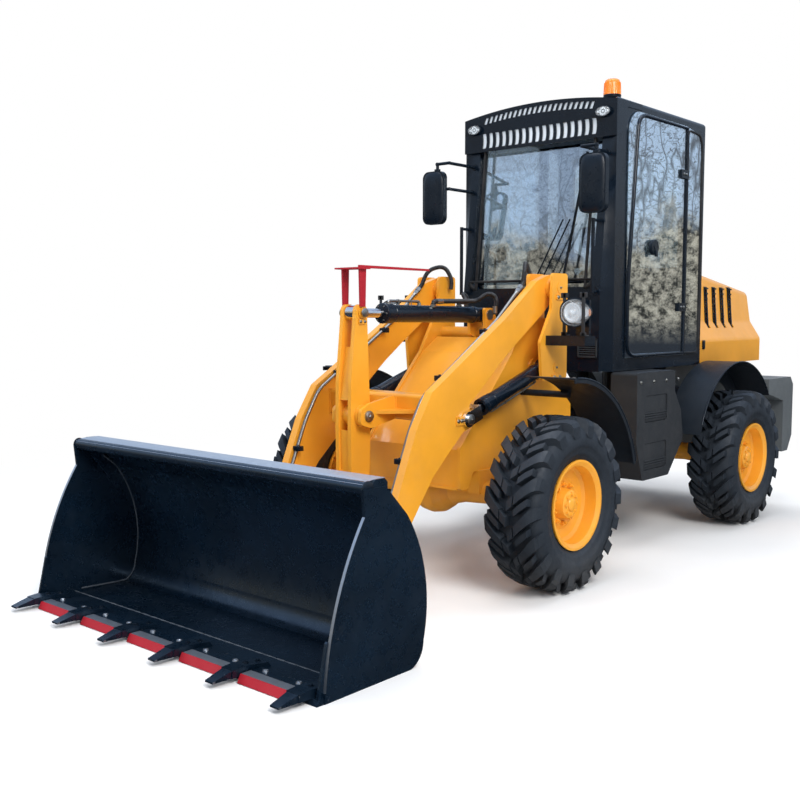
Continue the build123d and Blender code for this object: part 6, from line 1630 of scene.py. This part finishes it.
@dataclass
class Studio:
    """Floor, soft lights, world and camera."""

    place: Point = (5.521, 3.925, 1.574)
    yaw: float = 41.2
    pitch: float = 4.93
    lens: float = 45.1
    ambient: float = 0.55
    aim: Point = (0.3, 0.0, 1.0)
    sky_light: Colour = (0.80, 0.88, 1.0)
    haze: Colour = (0.70, 0.82, 0.95)
    zenith: Colour = (0.40, 0.56, 0.88)
    bough: Colour = (0.075, 0.062, 0.050)
    shade: Colour = (0.05, 0.048, 0.042)
    leaves: Colour = (0.72, 0.64, 0.50)
    ground: Colour = (0.045, 0.050, 0.060)

    def floor(self) -> None:
        """A wide pale floor."""
        piece = Form().box((-40.0, -40.0, -0.02), (40.0, 40.0, 0.0)).make("floor", FLOOR)
        piece.visible_glossy = False

    def scenery(self, nodes: NodeSketch) -> Socket:
        """What glossy surfaces show. Args: nodes: the world's tree. Returns: ground, trees and sky by
        direction."""
        way = nodes.add("ShaderNodeTexCoord").outputs["Generated"]
        split = nodes.add("ShaderNodeSeparateXYZ", {0: way}).outputs
        ahead, up = split[0], split[2]
        upright = nodes.out("ShaderNodeMapping", {"Vector": way, "Scale": (1.0, 1.0, 0.2)})
        bare: Socket | float = 0.0
        for run, scale, wide in ((upright, 46.0, 0.030), (way, 75.0, 0.020), (way, 150.0, 0.026)):
            grain = nodes.noise(scale, 3.0, 0.5, run)
            off = nodes.maths("ABSOLUTE", nodes.maths("SUBTRACT", grain, 0.5))
            bare = nodes.maths("MAXIMUM", bare, nodes.spread(off, 0.0, wide, 0.85, 0.0))
        bare = nodes.maths("MULTIPLY", bare, nodes.spread(up, 0.15, 0.45, 1.0, 0.0))
        rise = nodes.spread(up, 0.0, 0.9, 0.0, 1.0)
        clear = nodes.mix(rise, rgba(self.haze), rgba(self.zenith))
        sky = nodes.mix(bare, clear, rgba(self.bough))
        leaf = nodes.spread(nodes.noise(120.0, 9.0, 0.8, way), 0.42, 0.58, 0.0, 1.0)
        brush = nodes.mix(leaf, rgba(self.shade), rgba(self.leaves))
        lower = nodes.maths("MULTIPLY", nodes.maths("MAXIMUM", ahead, 0.0), 0.24)
        waver = nodes.spread(nodes.noise(13.0, 5.0, 0.5, way), 0.3, 0.7, -0.05, 0.05)
        height = nodes.maths("ADD", nodes.maths("SUBTRACT", up, lower), waver)
        trees = nodes.mix(nodes.spread(height, 0.055, 0.10, 0.0, 1.0), brush, sky)
        return nodes.mix(nodes.spread(up, -0.03, 0.0, 0.0, 1.0), rgba(self.ground), trees)

    def world(self) -> None:
        """White to the camera, a soft sky with a darker horizon to reflections."""
        world = bpy.data.worlds.new("studio")
        bpy.context.scene.world = world
        world.use_nodes = True
        world.node_tree.nodes.clear()
        nodes = NodeSketch(world.node_tree)
        shown = ((rgba(self.sky_light), self.ambient), (rgba(WHITE), 1.0), (self.scenery(nodes), 1.0))
        soft, white, mirrored = (
            nodes.out("ShaderNodeBackground", {"Color": colour, "Strength": strength})
            for colour, strength in shown
        )
        path = nodes.add("ShaderNodeLightPath").outputs
        indirect = nodes.blend(path["Is Glossy Ray"], soft, mirrored)
        surface = nodes.blend(path["Is Camera Ray"], indirect, white)
        nodes.add("ShaderNodeOutputWorld", {"Surface": surface})

    def light(
        self, name: str, place: Point, size: float, power: float, colour: Colour = WHITE,
        mirrored: bool = False,
    ) -> None:
        """One soft box aimed at the machine. Args: name: its name; place: where; size: its edge; power:
        watts; colour: its light's; mirrored: whether glossy surfaces show it."""
        lamp = bpy.data.lights.new(name, "AREA")
        lamp.energy, lamp.size, lamp.color = power, size, colour
        made = bpy.data.objects.new(name, lamp)
        made.location, made.visible_glossy = place, mirrored
        made.rotation_euler = (Vector(self.aim) - Vector(place)).to_track_quat("-Z", "Y").to_euler()
        bpy.context.scene.collection.objects.link(made)

    def camera(self) -> None:
        """The camera: ahead of the machine's left front corner, at about chest height."""
        data = bpy.data.cameras.new("camera")
        data.lens = self.lens
        made = bpy.data.objects.new("camera", data)
        yaw, pitch = math.radians(self.yaw), math.radians(self.pitch)
        look = Vector((-math.cos(yaw) * math.cos(pitch), -math.sin(yaw) * math.cos(pitch), -math.sin(pitch)))
        made.location = self.place
        made.rotation_euler = look.to_track_quat("-Z", "Y").to_euler()
        bpy.context.scene.collection.objects.link(made)
        bpy.context.scene.camera = made

    def build(self) -> None:
        """Builds the whole setting."""
        self.floor()
        self.world()
        self.light("key", (4.0, 6.5, 6.5), 4.0, 620.0, (1.0, 0.98, 0.95), mirrored=True)
        self.light("fill", (7.5, -4.5, 3.5), 4.0, 220.0, (0.94, 0.97, 1.0))
        self.light("rim", (-6.0, -3.5, 6.5), 4.0, 320.0)
        self.light("top", (0.0, 0.0, 8.5), 6.0, 300.0, mirrored=True)
        self.camera()
        bpy.context.scene.view_settings.view_transform = "Standard"


def stages() -> list[tuple[str, Callable[[], None]]]:
    """Returns: each step's name and what builds it, in order."""
    steps: list[tuple[str, Callable[[], None]]] = []
    for end, x in (("front", 0.675), ("rear", -1.825)):
        steps += [(f"{end} {side.word} wheel", Wheel(end, side, x).build) for side in Side]
    steps += [("bucket", BucketTrim().build), ("boom", BoomTrim().build)]
    tilt = CylinderTrim((0.243, 1.566), (1.432, 1.578), 0.052, 0.954, 0.0, "tilt_barrel_body", "tilt")
    steps += [("tilt collars", tilt.collars), ("tilt hoses", tilt.loops)]
    steps += [("tilt pipe", lambda: tilt.pipe(0.074, 0.62, 0.90, 0.008))]
    for side in Side:
        name = f"{side.word}_lift"
        y = side.value * 0.45
        lift = CylinderTrim((0.185, 1.240), (1.005, 0.975), 0.045, 0.66, y, name + "_barrel_body", name)
        steps += [(name + " collars", lift.collars)]
        steps += [(name + " pipe", lambda lift=lift: lift.pipe(-0.062, 0.12, 0.60))]
    steps += [("front frame", FrontTrim().build), ("cab", CabTrim().build)]
    return steps + [("cab interior", CabInterior().build), ("body", BodyTrim().build)]


def main() -> None:
    """Builds the whole scene in order."""
    logging.basicConfig(level=logging.INFO, format="%(message)s")
    Studio().build()
    CadLooks().apply(frame["nodes"])
    for word, build in stages():
        build()
        LOG.info("built %s", word)
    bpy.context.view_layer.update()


if __name__ == "__main__":
    main()
